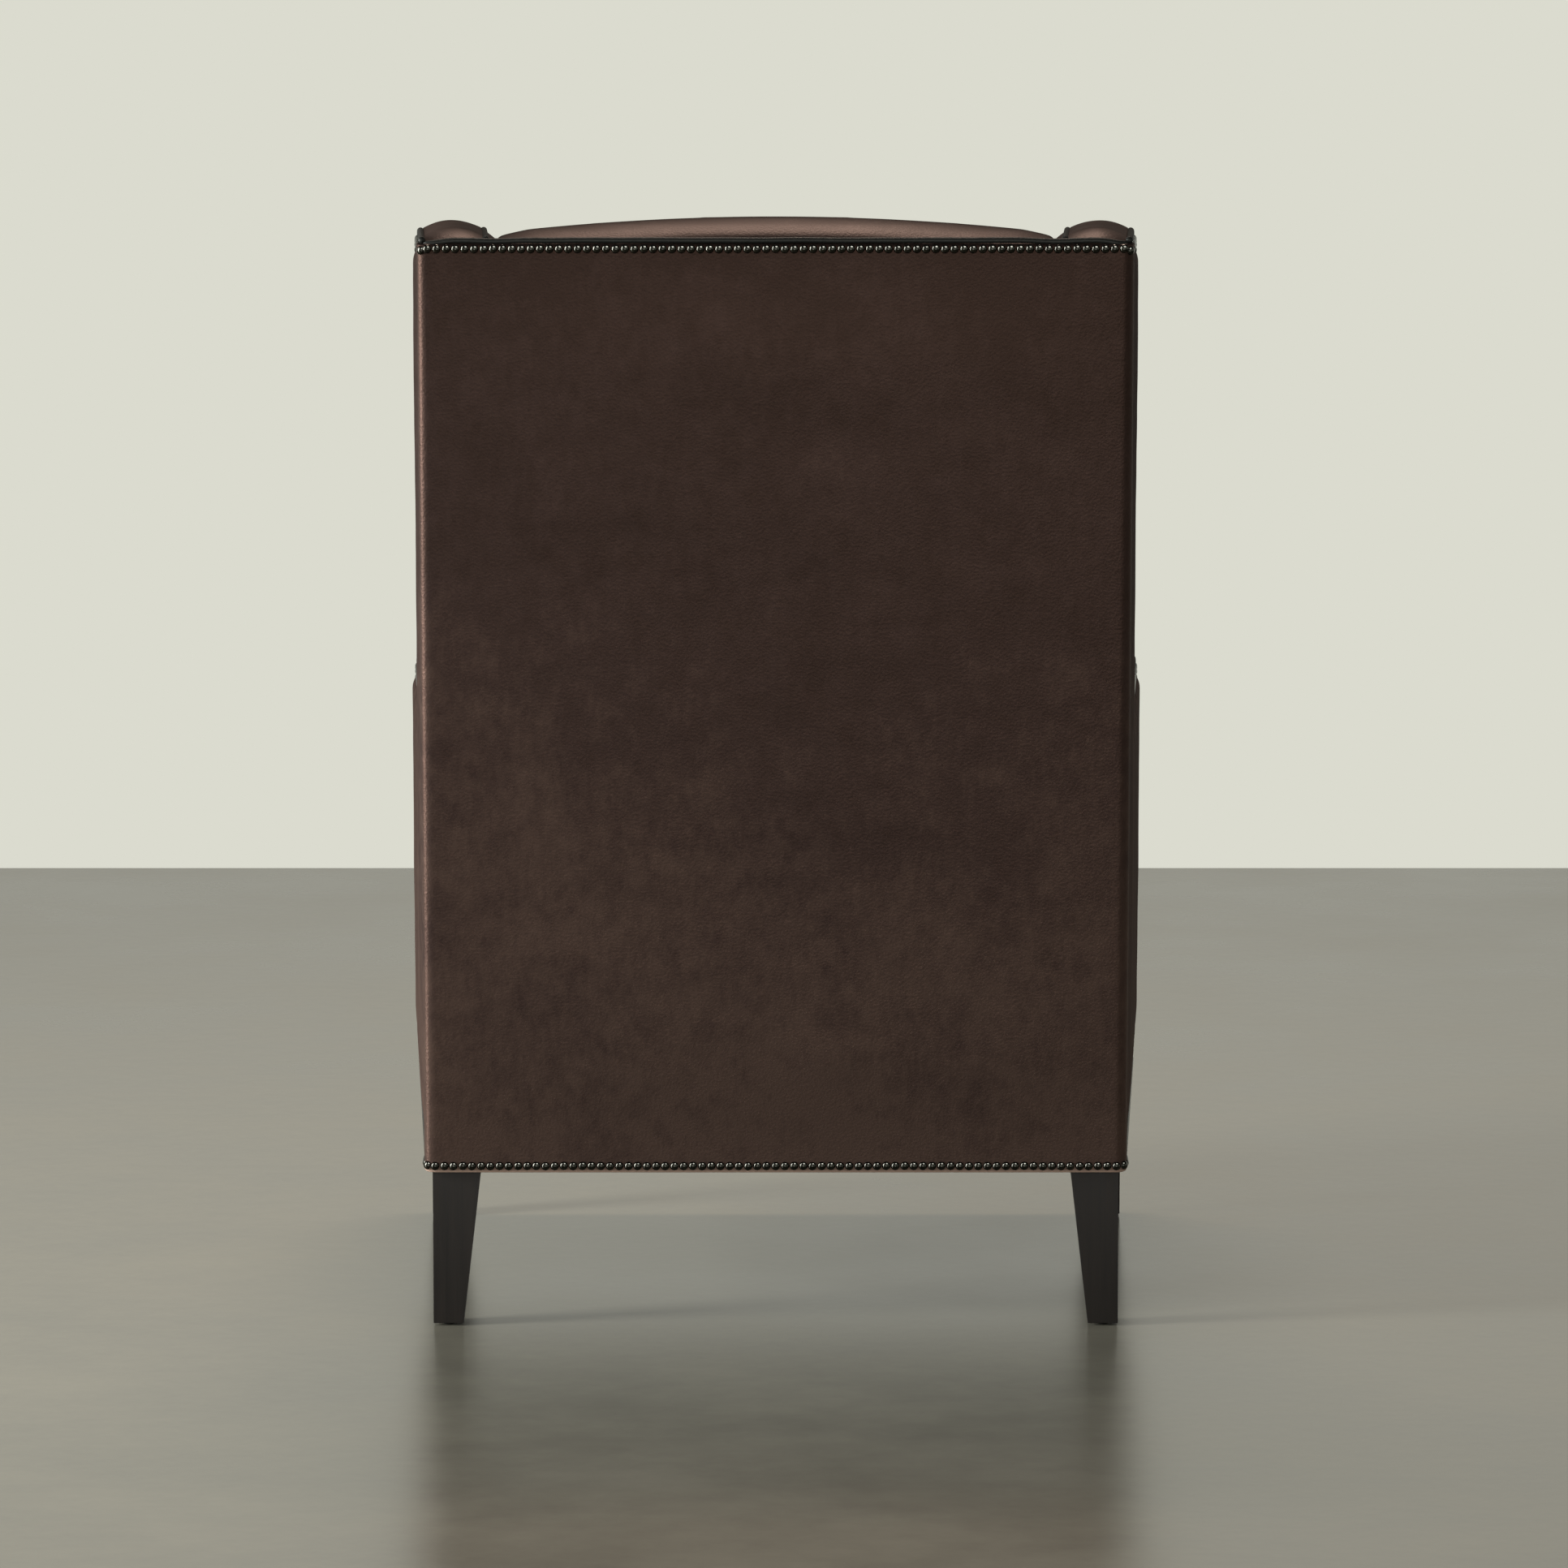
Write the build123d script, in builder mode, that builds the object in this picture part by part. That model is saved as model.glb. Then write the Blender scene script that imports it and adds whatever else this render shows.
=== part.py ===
from build123d import *
import os
from math import atan, cos, degrees, floor, radians, sin, tan

# High-back wing lounge chair in leather, on four tapered wooden legs.
# Millimetres. +Z is up, the sitter faces -Y, and the floor is Z = 0.
# Left and right are the sitter's own: the left side is +X.

# Overall form
leg_height = 158.0          # floor to the underside of the frame
leather_foot = leg_height + 0.3   # lower edge of the leather on the sides
wing_top = 1109.5           # welt line along the top of the wings and the back
arm_top = 605.0             # welt line along the arms
rake = radians(6.83)        # lean of the back
splay = radians(2.6)        # each side opens towards the front by this angle
rear_y = 305.2              # lower rear edge of the outside back
side_mid_x = 316.6          # middle of a side's thickness, at the rear
back_half_width = 355.0

# Outline of a side, seen from the side: along it, rearward is positive
wing_depth = 190.0          # top of the wing, from the outside back to the front edge
wing_lean = radians(5.0)    # lean of the wing's front edge
arm_front = -718.0
wing_corner_radius = 55.0
arm_dip_radius = 95.0
arm_corner_radius = 42.0
outline_reach = 160.0       # how far the outline is drawn past the back before it is cut

# Layers through the thickness of a side: outward is positive
panel_face = 35.5
frame_inner = -3.0
pad_step = -29.0
pad_face = -42.0
pad_round = 9.0
fit_gap = 0.4

# Boxing, welts and nails
boxing_half = 28.7
frame_outer = boxing_half
boxing_depth = 10.0
boxing_crown = 9.0
welt_radius = 3.5
welt_sides = 6
welt_line = boxing_half + welt_radius
back_welt_radius = 3.0
panel_inset = 3.7
nail_radius = 4.4
nail_height = 3.0
nail_pitch = 9.3
nail_inset = 8.2
nail_rise = 7.7             # nail centres above the lower edge of the leather
nails_across_back = 75

# Outside back
back_skin = 10.0
back_height = 954.5
back_corner_radius = 8.0
rolled_edge = 3.0

# Crown of the inside back, an arc about an axis far below it
crown_middle = 970.5        # rise of its middle up the raked back
crown_radius = 2400.0
crown_arc = 11.0            # degrees drawn to each side before the ends are cut
crown_centre = leg_height + crown_middle * cos(rake) - crown_radius

# Hardwood frame
floor_of_frame = leg_height + 2
rail_top = 248.0
strap = 2.5                 # thickness of the elastic webbing
side_rail_top = rail_top + strap
rail_thickness = 30.0
post_depth = 60.0
back_rail_face = 45.0       # front of the back's cross rails, from the outside back
crest_low, crest_high = 857.0, 927.0
tie_low, tie_high = 185.0, 245.0
wing_rail_low = 1052.0
arm_rail_low = 555.0
wing_post_width = 40.0
corner_block = 62.0

# Seat
deck_top = 315.0
deck_low = side_rail_top + strap + 0.2
pad_back_face = 47.4        # rear face of the pads, in front of the back's webbing
cushion_rear = -125.0
cushion_front = -715.0
cushion_rear_half = 276.5
cushion_front_half = 303.0
cushion_draw = 5.0          # how far the sides pull in between the corners
cushion_corner = 24.0
cushion_low = 319.0         # lower welt line of the loose cushion
cushion_high = 443.0        # upper welt line
crown_steps = ((14.0, 36.0), (9.0, 90.0))   # rise and inset of the shoulder and of the summit

# Legs
leg_top_size = 48.0
leg_foot_size = 30.4
leg_easing = 1.8            # chamfer along the long edges
rear_leg_outer = 346.6
front_leg_outer = 370.5
rear_leg_set = -9.0
front_leg_set = -697.0
glide_height = 2.6
glide_radius = 6.5
bolt_radius = 4.0
bolt_set = 16.0             # bolt centre, in from the leg's outer face
bolt_in_leg = 35.0
bolt_in_post = 45.0

# Planes: each side, the middle, and the raked back
side_normal_x = cos(splay) * cos(rake)
side_normal_y = sin(splay) * cos(rake)
side_normal_z = -sin(splay) * sin(rake)
side_plane = Plane(
    origin=(side_mid_x, rear_y, 0),
    x_dir=(-sin(splay), cos(splay), 0),
    z_dir=(side_normal_x, side_normal_y, side_normal_z),
)
right_plane = Plane(
    origin=(-side_mid_x, rear_y, 0),
    x_dir=(sin(splay), cos(splay), 0),
    z_dir=(-side_normal_x, side_normal_y, side_normal_z),
)
middle_plane = Plane(origin=(0, rear_y, 0), x_dir=(0, 1, 0), z_dir=(1, 0, 0))
back_plane = Plane(
    origin=(0, rear_y, leg_height), x_dir=(-1, 0, 0), z_dir=(0, cos(rake), -sin(rake))
)
back_foot = Plane(
    origin=(0, rear_y, leg_height), x_dir=(1, 0, 0), z_dir=(0, sin(rake), cos(rake))
)

os.makedirs("parts", exist_ok=True)


def write(piece, name):
    piece.part.label = name
    export_step(piece.part, f"parts/{name}.step")


def write_pair(left, name):
    with BuildPart() as right:
        mirror(left.part, about=Plane.YZ)
    write(left, f"{name}_left")
    write(right, f"{name}_right")


def wing_front(height, inset):
    drop = wing_top - height
    top = (wing_top - leg_height) * tan(rake) - wing_depth
    return top - drop * tan(wing_lean) + inset / cos(wing_lean)


def edge_points(inset):
    top, arm, front = wing_top - inset, arm_top - inset, arm_front + inset
    return [
        (outline_reach, top),
        (wing_front(top, inset), top),
        (wing_front(arm, inset), arm),
        (front, arm),
        (front, leather_foot),
    ]


def edge_line(inset):
    wing_round = max(wing_corner_radius - inset, 0)
    arm_round = max(arm_corner_radius - inset, 0)
    radii = [wing_round, arm_dip_radius + inset, arm_round]
    return FilletPolyline(*edge_points(inset), radius=radii)


def side_outline(inset):
    with BuildLine() as outline:
        edge = edge_line(inset)
        Polyline(edge @ 1, (outline_reach, leather_foot), edge @ 0)
    make_face(outline.edges())


def back_point(depth, rise):
    """A point of the raked back in a side view, by its depth from the outside and its rise."""
    along = rise * sin(rake) - depth * cos(rake)
    return along, leg_height + rise * cos(rake) + depth * sin(rake)


def trim_to_back(depth):
    split(bisect_by=back_plane.offset(-depth), keep=Keep.BOTTOM)


def trim_to_floor():
    split(bisect_by=Plane.XY.offset(floor_of_frame), keep=Keep.TOP)


def trim_to_sides(layer):
    split(bisect_by=side_plane.offset(layer), keep=Keep.BOTTOM)
    split(bisect_by=right_plane.offset(layer), keep=Keep.BOTTOM)


def height_band(low, high):
    """The band of a side view between two heights, to keep of what is drawn."""
    with Locations((0, (low + high) / 2)):
        Rectangle(4 * wing_top, high - low, mode=Mode.INTERSECT)


def section_plane(path):
    """The plane across the start of a side's edge line, its X pointing outward."""
    return Plane(origin=path @ 0, x_dir=side_plane.z_dir, z_dir=path % 0)


# Outside back: one leather panel that wraps round both rear corners
with BuildPart() as outside_back:
    with BuildSketch(back_foot) as across:
        Rectangle(2 * back_half_width, back_skin, align=(Align.CENTER, Align.MAX))
        fillet(across.vertices().group_by(Axis.Y)[-1], back_corner_radius)
    extrude(amount=back_height)
    lower_edges = outside_back.faces().sort_by(Axis.Z)[0].edges()
    fillet(lower_edges.sort_by(Axis.Y)[-3:], rolled_edge)
write(outside_back, "outside_back")

# Welt along the top of the outside back
with BuildPart() as back_welt:
    welt_rise = back_height + back_welt_radius
    welt_centre = back_skin - back_welt_radius
    with BuildSketch(middle_plane):
        with Locations(back_point(welt_centre, welt_rise)):
            Circle(back_welt_radius)
    extrude(amount=side_mid_x + welt_line, both=True)
write(back_welt, "back_top_welt")

# Crowned boxing along the top and front edges of each side
with BuildPart() as side_boxing:
    with BuildLine(side_plane) as boxing_edge:
        edge_line(0)
    with BuildSketch(section_plane(boxing_edge.line)):
        with BuildLine():
            Polyline(
                (-boxing_half, 0),
                (-boxing_half, -boxing_depth),
                (boxing_half, -boxing_depth),
                (boxing_half, 0),
            )
            ThreePointArc((boxing_half, 0), (0, boxing_crown), (-boxing_half, 0))
        make_face()
    sweep()
    trim_to_back(back_skin)
write_pair(side_boxing, "side_boxing")

# Welts on both edges of that boxing
for edge_name, layer in (("outer_welt", welt_line), ("inner_welt", -welt_line)):
    with BuildPart() as side_welt:
        with BuildLine(side_plane) as welt_edge:
            edge_line(0)
        with BuildSketch(section_plane(welt_edge.line)):
            with Locations((layer, 0)):
                RegularPolygon(welt_radius, welt_sides)
        sweep()
        trim_to_back(back_skin)
    write_pair(side_welt, edge_name)

# Outside of each wing and arm: one leather panel
with BuildPart() as outside_panel:
    with BuildSketch(side_plane.offset(frame_outer)):
        side_outline(panel_inset)
    extrude(amount=panel_face - frame_outer)
    outward = Axis((0, 0, 0), side_plane.z_dir)
    chamfer(outside_panel.faces().sort_by(outward)[-1].edges(), rolled_edge - 1)
    trim_to_back(back_skin)
write_pair(outside_panel, "outside_panel")


# Inside padding of each side: the wing above a slanting seam, the arm below it
with BuildPart() as inside_padding:
    with BuildSketch(side_plane.offset(frame_inner)):
        side_outline(boxing_depth + fit_gap)
    extrude(amount=pad_step - frame_inner)
    with BuildSketch(side_plane.offset(pad_step)):
        side_outline(panel_inset + fit_gap)
    extrude(amount=pad_face - pad_step)
    chamfer(inside_padding.faces().sort_by(outward)[0].edges(), pad_round)
    with BuildSketch(back_plane):
        Rectangle(4 * back_half_width, 2 * (crest_high + 1))
    extrude(amount=-pad_back_face, mode=Mode.SUBTRACT)
    trim_to_back(back_skin)

seam_start = (wing_front(arm_top, 0) - 5, arm_top + 25)
seam_slope = radians(45)
seam_plane = Plane(
    origin=side_plane.from_local_coords(seam_start),
    x_dir=side_plane.z_dir,
    z_dir=side_plane.x_dir * sin(seam_slope) + Vector(0, 0, cos(seam_slope)),
)
with BuildPart() as inside_wing:
    add(inside_padding.part)
    split(bisect_by=seam_plane.offset(fit_gap / 2), keep=Keep.TOP)
write_pair(inside_wing, "inside_wing")

with BuildPart() as inside_arm:
    add(inside_padding.part)
    split(bisect_by=seam_plane.offset(-fit_gap / 2), keep=Keep.BOTTOM)
    split(bisect_by=Plane.XY.offset(deck_low), keep=Keep.TOP)
write_pair(inside_arm, "inside_arm")


# Inside back: a crowned pad that rolls over the crest rail to the top welt
with BuildPart() as inside_back:
    with BuildSketch(middle_plane):
        with BuildLine():
            foot_rear, foot_front = back_point(0, 100), back_point(135, 100)
            brow, summit = back_point(108, 895), back_point(62, crown_middle)
            rear_lip = back_point(0, crown_middle - 22)
            Line(foot_rear, foot_front)
            ThreePointArc(foot_front, back_point(134, 480), brow)
            ThreePointArc(brow, back_point(96, crown_middle - 14), summit)
            ThreePointArc(summit, back_point(32, crown_middle - 4), rear_lip)
            Line(rear_lip, foot_rear)
        make_face()
    revolve(axis=Axis((0, rear_y, crown_centre), (0, 1, 0)), revolution_arc=crown_arc)
    mirror(about=Plane.YZ)
    with BuildSketch(back_plane):
        Rectangle(4 * back_half_width, 2 * (crest_high + 1))
    extrude(amount=-pad_back_face, mode=Mode.SUBTRACT)
    trim_to_back(back_skin + fit_gap)
    trim_to_sides(pad_face - fit_gap)
    split(bisect_by=Plane.XY.offset(deck_top + fit_gap), keep=Keep.TOP)
write(inside_back, "inside_back")

# Hardwood frame of each side, drawn on the side and cut to its thickness
frame_thickness = frame_outer - frame_inner
frame_plane = side_plane.offset(frame_inner)
bolt_rear_x = rear_leg_outer - bolt_set
bolt_front_x = front_leg_outer - bolt_set
bolt_rear_y = rear_y + rear_leg_set - leg_top_size / 2
bolt_front_y = rear_y + front_leg_set + leg_top_size / 2


def bolt_socket(x, y):
    with Locations((x, y, floor_of_frame)):
        Cylinder(
            bolt_radius + 0.1,
            bolt_in_post,
            align=(Align.CENTER, Align.CENTER, Align.MIN),
            mode=Mode.SUBTRACT,
        )


with BuildPart() as back_post:
    with BuildSketch(frame_plane):
        with BuildLine():
            Polyline(
                back_point(0, -20),
                back_point(post_depth + 10, -20),
                back_point(post_depth + 10, back_height),
                back_point(0, back_height),
                close=True,
            )
        make_face()
        height_band(leg_height, wing_rail_low)
    extrude(amount=frame_thickness)
    trim_to_back(back_skin)
    split(bisect_by=back_plane.offset(-post_depth), keep=Keep.TOP)
    trim_to_floor()
    bolt_socket(bolt_rear_x, bolt_rear_y)
write_pair(back_post, "back_post")

with BuildPart() as wing_rail:
    with BuildSketch(frame_plane):
        side_outline(boxing_depth)
        height_band(wing_rail_low, wing_top)
    extrude(amount=frame_thickness)
    trim_to_back(back_skin)
write_pair(wing_rail, "wing_rail")

with BuildPart() as wing_post:
    with BuildSketch(frame_plane):
        side_outline(boxing_depth)
        with BuildSketch(mode=Mode.PRIVATE) as inner:
            side_outline(boxing_depth + wing_post_width)
        add(inner.sketch, mode=Mode.SUBTRACT)
        height_band(arm_top - boxing_depth, wing_rail_low)
        with Locations((wing_front(arm_top, 0) - arm_dip_radius / 2, 0)):
            Rectangle(outline_reach, 3 * wing_top, align=(Align.MIN, Align.CENTER), mode=Mode.INTERSECT)
    extrude(amount=frame_thickness)
write_pair(wing_post, "wing_post")

with BuildPart() as arm_rail:
    with BuildSketch(frame_plane):
        side_outline(boxing_depth)
        height_band(arm_rail_low, arm_top - boxing_depth)
    extrude(amount=frame_thickness)
    trim_to_back(post_depth)
write_pair(arm_rail, "arm_rail")

post_front = arm_front + boxing_depth
with BuildPart() as arm_post:
    with BuildSketch(frame_plane):
        with Locations((post_front, leg_height)):
            Rectangle(post_depth, arm_rail_low - leg_height, align=Align.MIN)
    extrude(amount=frame_thickness)
    trim_to_floor()
    bolt_socket(bolt_front_x, bolt_front_y)
write_pair(arm_post, "arm_post")

with BuildPart() as side_rail:
    with BuildSketch(frame_plane):
        with Locations((post_front + post_depth, leg_height)):
            Rectangle(-arm_front, side_rail_top - leg_height - fit_gap / 2, align=Align.MIN)
    extrude(amount=frame_thickness)
    trim_to_floor()
    trim_to_back(post_depth)
write_pair(side_rail, "side_rail")

# Cross rails between the sides
rear_rail_face = -45.0
with BuildPart() as rear_rail:
    with BuildSketch(middle_plane):
        with Locations((rear_rail_face, floor_of_frame)):
            Rectangle(2 * back_rail_face, rail_top - floor_of_frame, align=Align.MIN)
    extrude(amount=back_half_width, both=True)
    trim_to_back(back_skin)
    trim_to_sides(frame_inner)
write(rear_rail, "rear_rail")

for rail_name, low, high in (("tie_rail", tie_low, tie_high), ("crest_rail", crest_low, crest_high)):
    with BuildPart() as back_rail:
        with BuildSketch(back_plane.offset(-back_skin)):
            with Locations((0, low)):
                Rectangle(2 * back_half_width, high - low, align=(Align.CENTER, Align.MIN))
        extrude(amount=back_skin - back_rail_face)
        trim_to_sides(frame_inner)
    write(back_rail, rail_name)

rail_front = post_front + 1
with BuildPart() as front_rail:
    with BuildSketch(middle_plane):
        with Locations((rail_front, floor_of_frame)):
            Rectangle(rail_thickness, rail_top - floor_of_frame, align=Align.MIN)
    extrude(amount=front_leg_outer, both=True)
    trim_to_sides(frame_inner)
write(front_rail, "front_rail")

# Glued corner blocks inside the seat rails
block_low, block_high = 168.0, 241.0
front_block = rail_front + rail_thickness
with BuildPart() as corner_blocks:
    with BuildSketch(Plane.XY.offset(block_low)):
        for face, reach in ((rear_rail_face, -corner_block), (front_block, corner_block)):
            near = side_mid_x + frame_inner - face * sin(splay)
            far = near - reach * sin(splay)
            for side in (1, -1):
                with BuildLine():
                    Polyline(
                        (side * near, rear_y + face),
                        (side * (near - corner_block), rear_y + face),
                        (side * far, rear_y + face + reach),
                        close=True,
                    )
                make_face()
    extrude(amount=block_high - block_low)
    trim_to_sides(frame_inner)
write(corner_blocks, "corner_blocks")

# Elastic webbing: lengthwise under crosswise on the seat, upright on the back
strap_width = 50.0
with BuildPart() as seat_webbing:
    with BuildSketch(Plane.XY.offset(rail_top)):
        with Locations((0, rear_y + (rear_rail_face + front_block) / 2)):
            with GridLocations(96, 1, 5, 1):
                Rectangle(strap_width, rear_rail_face - front_block + rail_thickness)
    extrude(amount=strap)
    with BuildSketch(Plane.XY.offset(side_rail_top + 0.1)):
        with Locations((0, rear_y - 385)):
            with GridLocations(1, 110, 1, 5):
                Rectangle(2 * back_half_width, strap_width)
    extrude(amount=strap)
    trim_to_sides(frame_outer - 8)
write(seat_webbing, "seat_webbing")

with BuildPart() as back_webbing:
    with BuildSketch(back_plane.offset(-back_rail_face)):
        with Locations((0, (tie_low + crest_high) / 2)):
            with GridLocations(120, 1, 4, 1):
                Rectangle(strap_width, crest_high - tie_low - 20)
    extrude(amount=-2)
write(back_webbing, "back_webbing")

# Sprung seat deck, the leather border below it and the dust cover
border_face = arm_front + 2
with BuildPart() as seat_deck:
    with BuildSketch(middle_plane):
        with BuildLine():
            Polyline(
                (border_face, deck_low),
                (border_face, deck_top),
                (outline_reach, deck_top),
                (outline_reach, deck_low),
                close=True,
            )
        make_face()
    extrude(amount=back_half_width, both=True)
    trim_to_back(back_skin + fit_gap)
    trim_to_sides(pad_face - fit_gap)
    fillet(seat_deck.edges().filter_by(Axis.X).group_by(Axis.Y)[0].sort_by(Axis.Z)[-1], 12)
write(seat_deck, "seat_deck")

with BuildPart() as front_border:
    with BuildSketch(middle_plane):
        with Locations((border_face, leg_height)):
            Rectangle(post_front - border_face, deck_low - leg_height, align=Align.MIN)
    extrude(amount=front_leg_outer, both=True)
    trim_to_sides(-welt_line - welt_radius)
    front_edges = front_border.edges().filter_by(Axis.X).group_by(Axis.Y)[0]
    fillet(front_edges.sort_by(Axis.Z)[0], rolled_edge)
write(front_border, "front_border")

with BuildPart() as dust_cover:
    with BuildSketch(Plane.XY.offset(leg_height)):
        with Locations((0, rear_y + rail_front + 2)):
            Rectangle(3 * back_half_width, 3 * back_half_width, align=(Align.CENTER, Align.MIN))
    extrude(amount=floor_of_frame - leg_height)
    trim_to_back(back_skin)
    trim_to_sides(frame_outer)
    with BuildSketch(Plane.XY.offset(leg_height)):
        for side in (1, -1):
            with Locations((side * bolt_rear_x, bolt_rear_y), (side * bolt_front_x, bolt_front_y)):
                Rectangle(3 * bolt_radius, 3 * bolt_radius)
    extrude(amount=floor_of_frame - leg_height, mode=Mode.SUBTRACT)
write(dust_cover, "dust_cover")


# Loose seat cushion: boxed sides that pull in, crowned top, welted edges
def cushion_level(height, inset):
    rear, front = rear_y + cushion_rear - inset, rear_y + cushion_front + inset
    rear_half, front_half = cushion_rear_half - inset, cushion_front_half - inset
    middle, middle_half = (rear + front) / 2, (rear_half + front_half) / 2 - cushion_draw
    rear_left, rear_right = (rear_half, rear), (-rear_half, rear)
    front_left, front_right = (front_half, front), (-front_half, front)
    with BuildSketch(Plane.XY.offset(height)) as level:
        with BuildLine():
            ThreePointArc(rear_left, (0, rear - cushion_draw), rear_right)
            ThreePointArc(rear_right, (-middle_half, middle), front_right)
            ThreePointArc(front_right, (0, front + cushion_draw), front_left)
            ThreePointArc(front_left, (middle_half, middle), rear_left)
        make_face()
        fillet(level.vertices(), max(cushion_corner - inset, cushion_corner / 2))
    return level.sketch


def cushion_welt(height):
    path = cushion_level(height, 0).faces()[0].outer_wire()
    with BuildPart() as welt:
        with BuildSketch(Plane(origin=path @ 0, z_dir=path % 0)):
            RegularPolygon(welt_radius, welt_sides)
        sweep(path=path)
    return welt


lower_welt = cushion_welt(cushion_low)
upper_welt = cushion_welt(cushion_high)
write(lower_welt, "cushion_welt_lower")
write(upper_welt, "cushion_welt_upper")

welt_seat = welt_radius + 0.5
with BuildPart() as seat_cushion:
    extrude(cushion_level(cushion_low - 3, welt_seat), amount=3 + welt_seat)
    boxing_height = cushion_high - cushion_low - 2 * welt_seat
    extrude(cushion_level(cushion_low + welt_seat, 0), amount=boxing_height)
    extrude(cushion_level(cushion_high - welt_seat, welt_seat), amount=welt_seat + 1)
    top = cushion_level(cushion_high + 1, welt_seat).faces()[0]
    for rise, inset in crown_steps:
        extrude(top, amount=rise, taper=degrees(atan(inset / rise)))
        top = seat_cushion.faces().sort_by(Axis.Z)[-1]
write(seat_cushion, "seat_cushion")

# Legs: the outer faces stand upright, the inner faces taper to the foot
legs = (
    ("rear_left", 1, rear_leg_outer, rear_leg_set, -1),
    ("rear_right", -1, rear_leg_outer, rear_leg_set, -1),
    ("front_left", 1, front_leg_outer, front_leg_set, 1),
    ("front_right", -1, front_leg_outer, front_leg_set, 1),
)
with BuildPart() as leg_bolts:
    with BuildSketch(Plane.XY.offset(leg_height - bolt_in_leg)):
        for _, side, outer, setback, inward in legs:
            with Locations((side * (outer - bolt_set), rear_y + setback + inward * leg_top_size / 2)):
                RegularPolygon(bolt_radius, 6)
    extrude(amount=bolt_in_leg + floor_of_frame - leg_height + bolt_in_post)
write(leg_bolts, "leg_bolts")

for leg_name, side, outer, setback, inward in legs:
    with BuildPart() as leg:
        with BuildSketch(Plane.XY.offset(glide_height)):
            with Locations((side * (outer - leg_top_size / 2), rear_y + setback + inward * leg_top_size / 2)):
                Rectangle(leg_top_size, leg_top_size)
        extrude(amount=leg_height - glide_height)
        foot = (side * (outer - leg_foot_size), rear_y + setback + inward * leg_foot_size, glide_height)
        run, taper = leg_height - glide_height, leg_top_size - leg_foot_size
        split(bisect_by=Plane(origin=foot, z_dir=(side * run, 0, taper)), keep=Keep.TOP)
        split(bisect_by=Plane(origin=foot, z_dir=(0, -inward * run, taper)), keep=Keep.TOP)
        chamfer(leg.edges().filter_by(lambda edge: abs(edge.tangent_at(0).Z) > 0.9), leg_easing)
        top_x = side * (outer - bolt_set)
        top_y = rear_y + setback + inward * leg_top_size / 2
        with Locations((top_x, top_y, leg_height)):
            Hole(bolt_radius + 0.1, depth=bolt_in_leg)
    write(leg, f"leg_{leg_name}")

# Domed glides under the feet
with BuildPart() as glides:
    for _, side, outer, setback, inward in legs:
        foot_x = side * (outer - leg_foot_size / 2)
        foot_y = rear_y + setback + inward * leg_foot_size / 2
        with BuildSketch(Plane(origin=(foot_x, foot_y, 0), x_dir=(1, 0, 0), z_dir=(0, -1, 0))):
            with BuildLine():
                Polyline(
                    (0.7 * glide_radius, 0),
                    (0, 0),
                    (0, glide_height),
                    (glide_radius, glide_height),
                    close=True,
                )
            make_face()
        revolve(axis=Axis((foot_x, foot_y, 0), (0, 0, 1)))
write(glides, "glides")

# Domed nails, touching one another in rows
with BuildPart() as nail:
    with BuildSketch() as nail_base:
        RegularPolygon(nail_radius, 4)
    loft([nail_base.sketch.faces()[0], Vertex(0, 0, nail_height)])


def nail_row(plane, points):
    with BuildPart(plane) as row:
        with Locations(*points):
            add(nail.part)
    return row


def straight_row(start, count, height):
    return [(start + i * nail_pitch, height) for i in range(count)]


across_start = -(nails_across_back - 1) / 2 * nail_pitch
top_nails = straight_row(across_start, nails_across_back, welt_rise - nail_rise)
base_nails = straight_row(across_start, nails_across_back, nail_rise)
write(nail_row(back_plane, top_nails), "nails_back_top")
write(nail_row(back_plane, base_nails), "nails_back_base")

outer_face = side_plane.offset(panel_face)
nail_height_up = leg_height + nail_rise
side_start = arm_front + nail_inset
side_count = floor((-back_skin - nail_radius - side_start) / nail_pitch) + 1
side_base = straight_row(side_start, side_count, nail_height_up)
write_pair(nail_row(outer_face, side_base), "nails_side_base")

nail_line = edge_line(nail_inset)
rear_end = back_point(back_skin + nail_radius, welt_rise - nail_rise)[0]
first = outline_reach - rear_end + 2
edge_count = floor((nail_line.length - first - nail_rise) / nail_pitch)
edge_nails = [nail_line.position_at(first + i * nail_pitch, position_mode=PositionMode.LENGTH)
              for i in range(edge_count)]
write_pair(nail_row(outer_face, [(p.X, p.Y) for p in edge_nails]), "nails_side_edge")

border_plane = Plane(origin=(0, rear_y + border_face, 0), x_dir=(1, 0, 0), z_dir=(0, -1, 0))
front_half = side_mid_x - welt_line - welt_radius - border_face * sin(splay) - nail_radius
front_count = 2 * floor(front_half / nail_pitch) + 1
front_nails = straight_row(-(front_count // 2) * nail_pitch, front_count, nail_height_up)
write(nail_row(border_plane, front_nails), "nails_front_base")
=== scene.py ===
import random
from math import ceil, cos, floor, pi, radians, sin, tan

import bmesh
import bpy
from mathutils import Matrix, Vector, kdtree, noise


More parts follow.
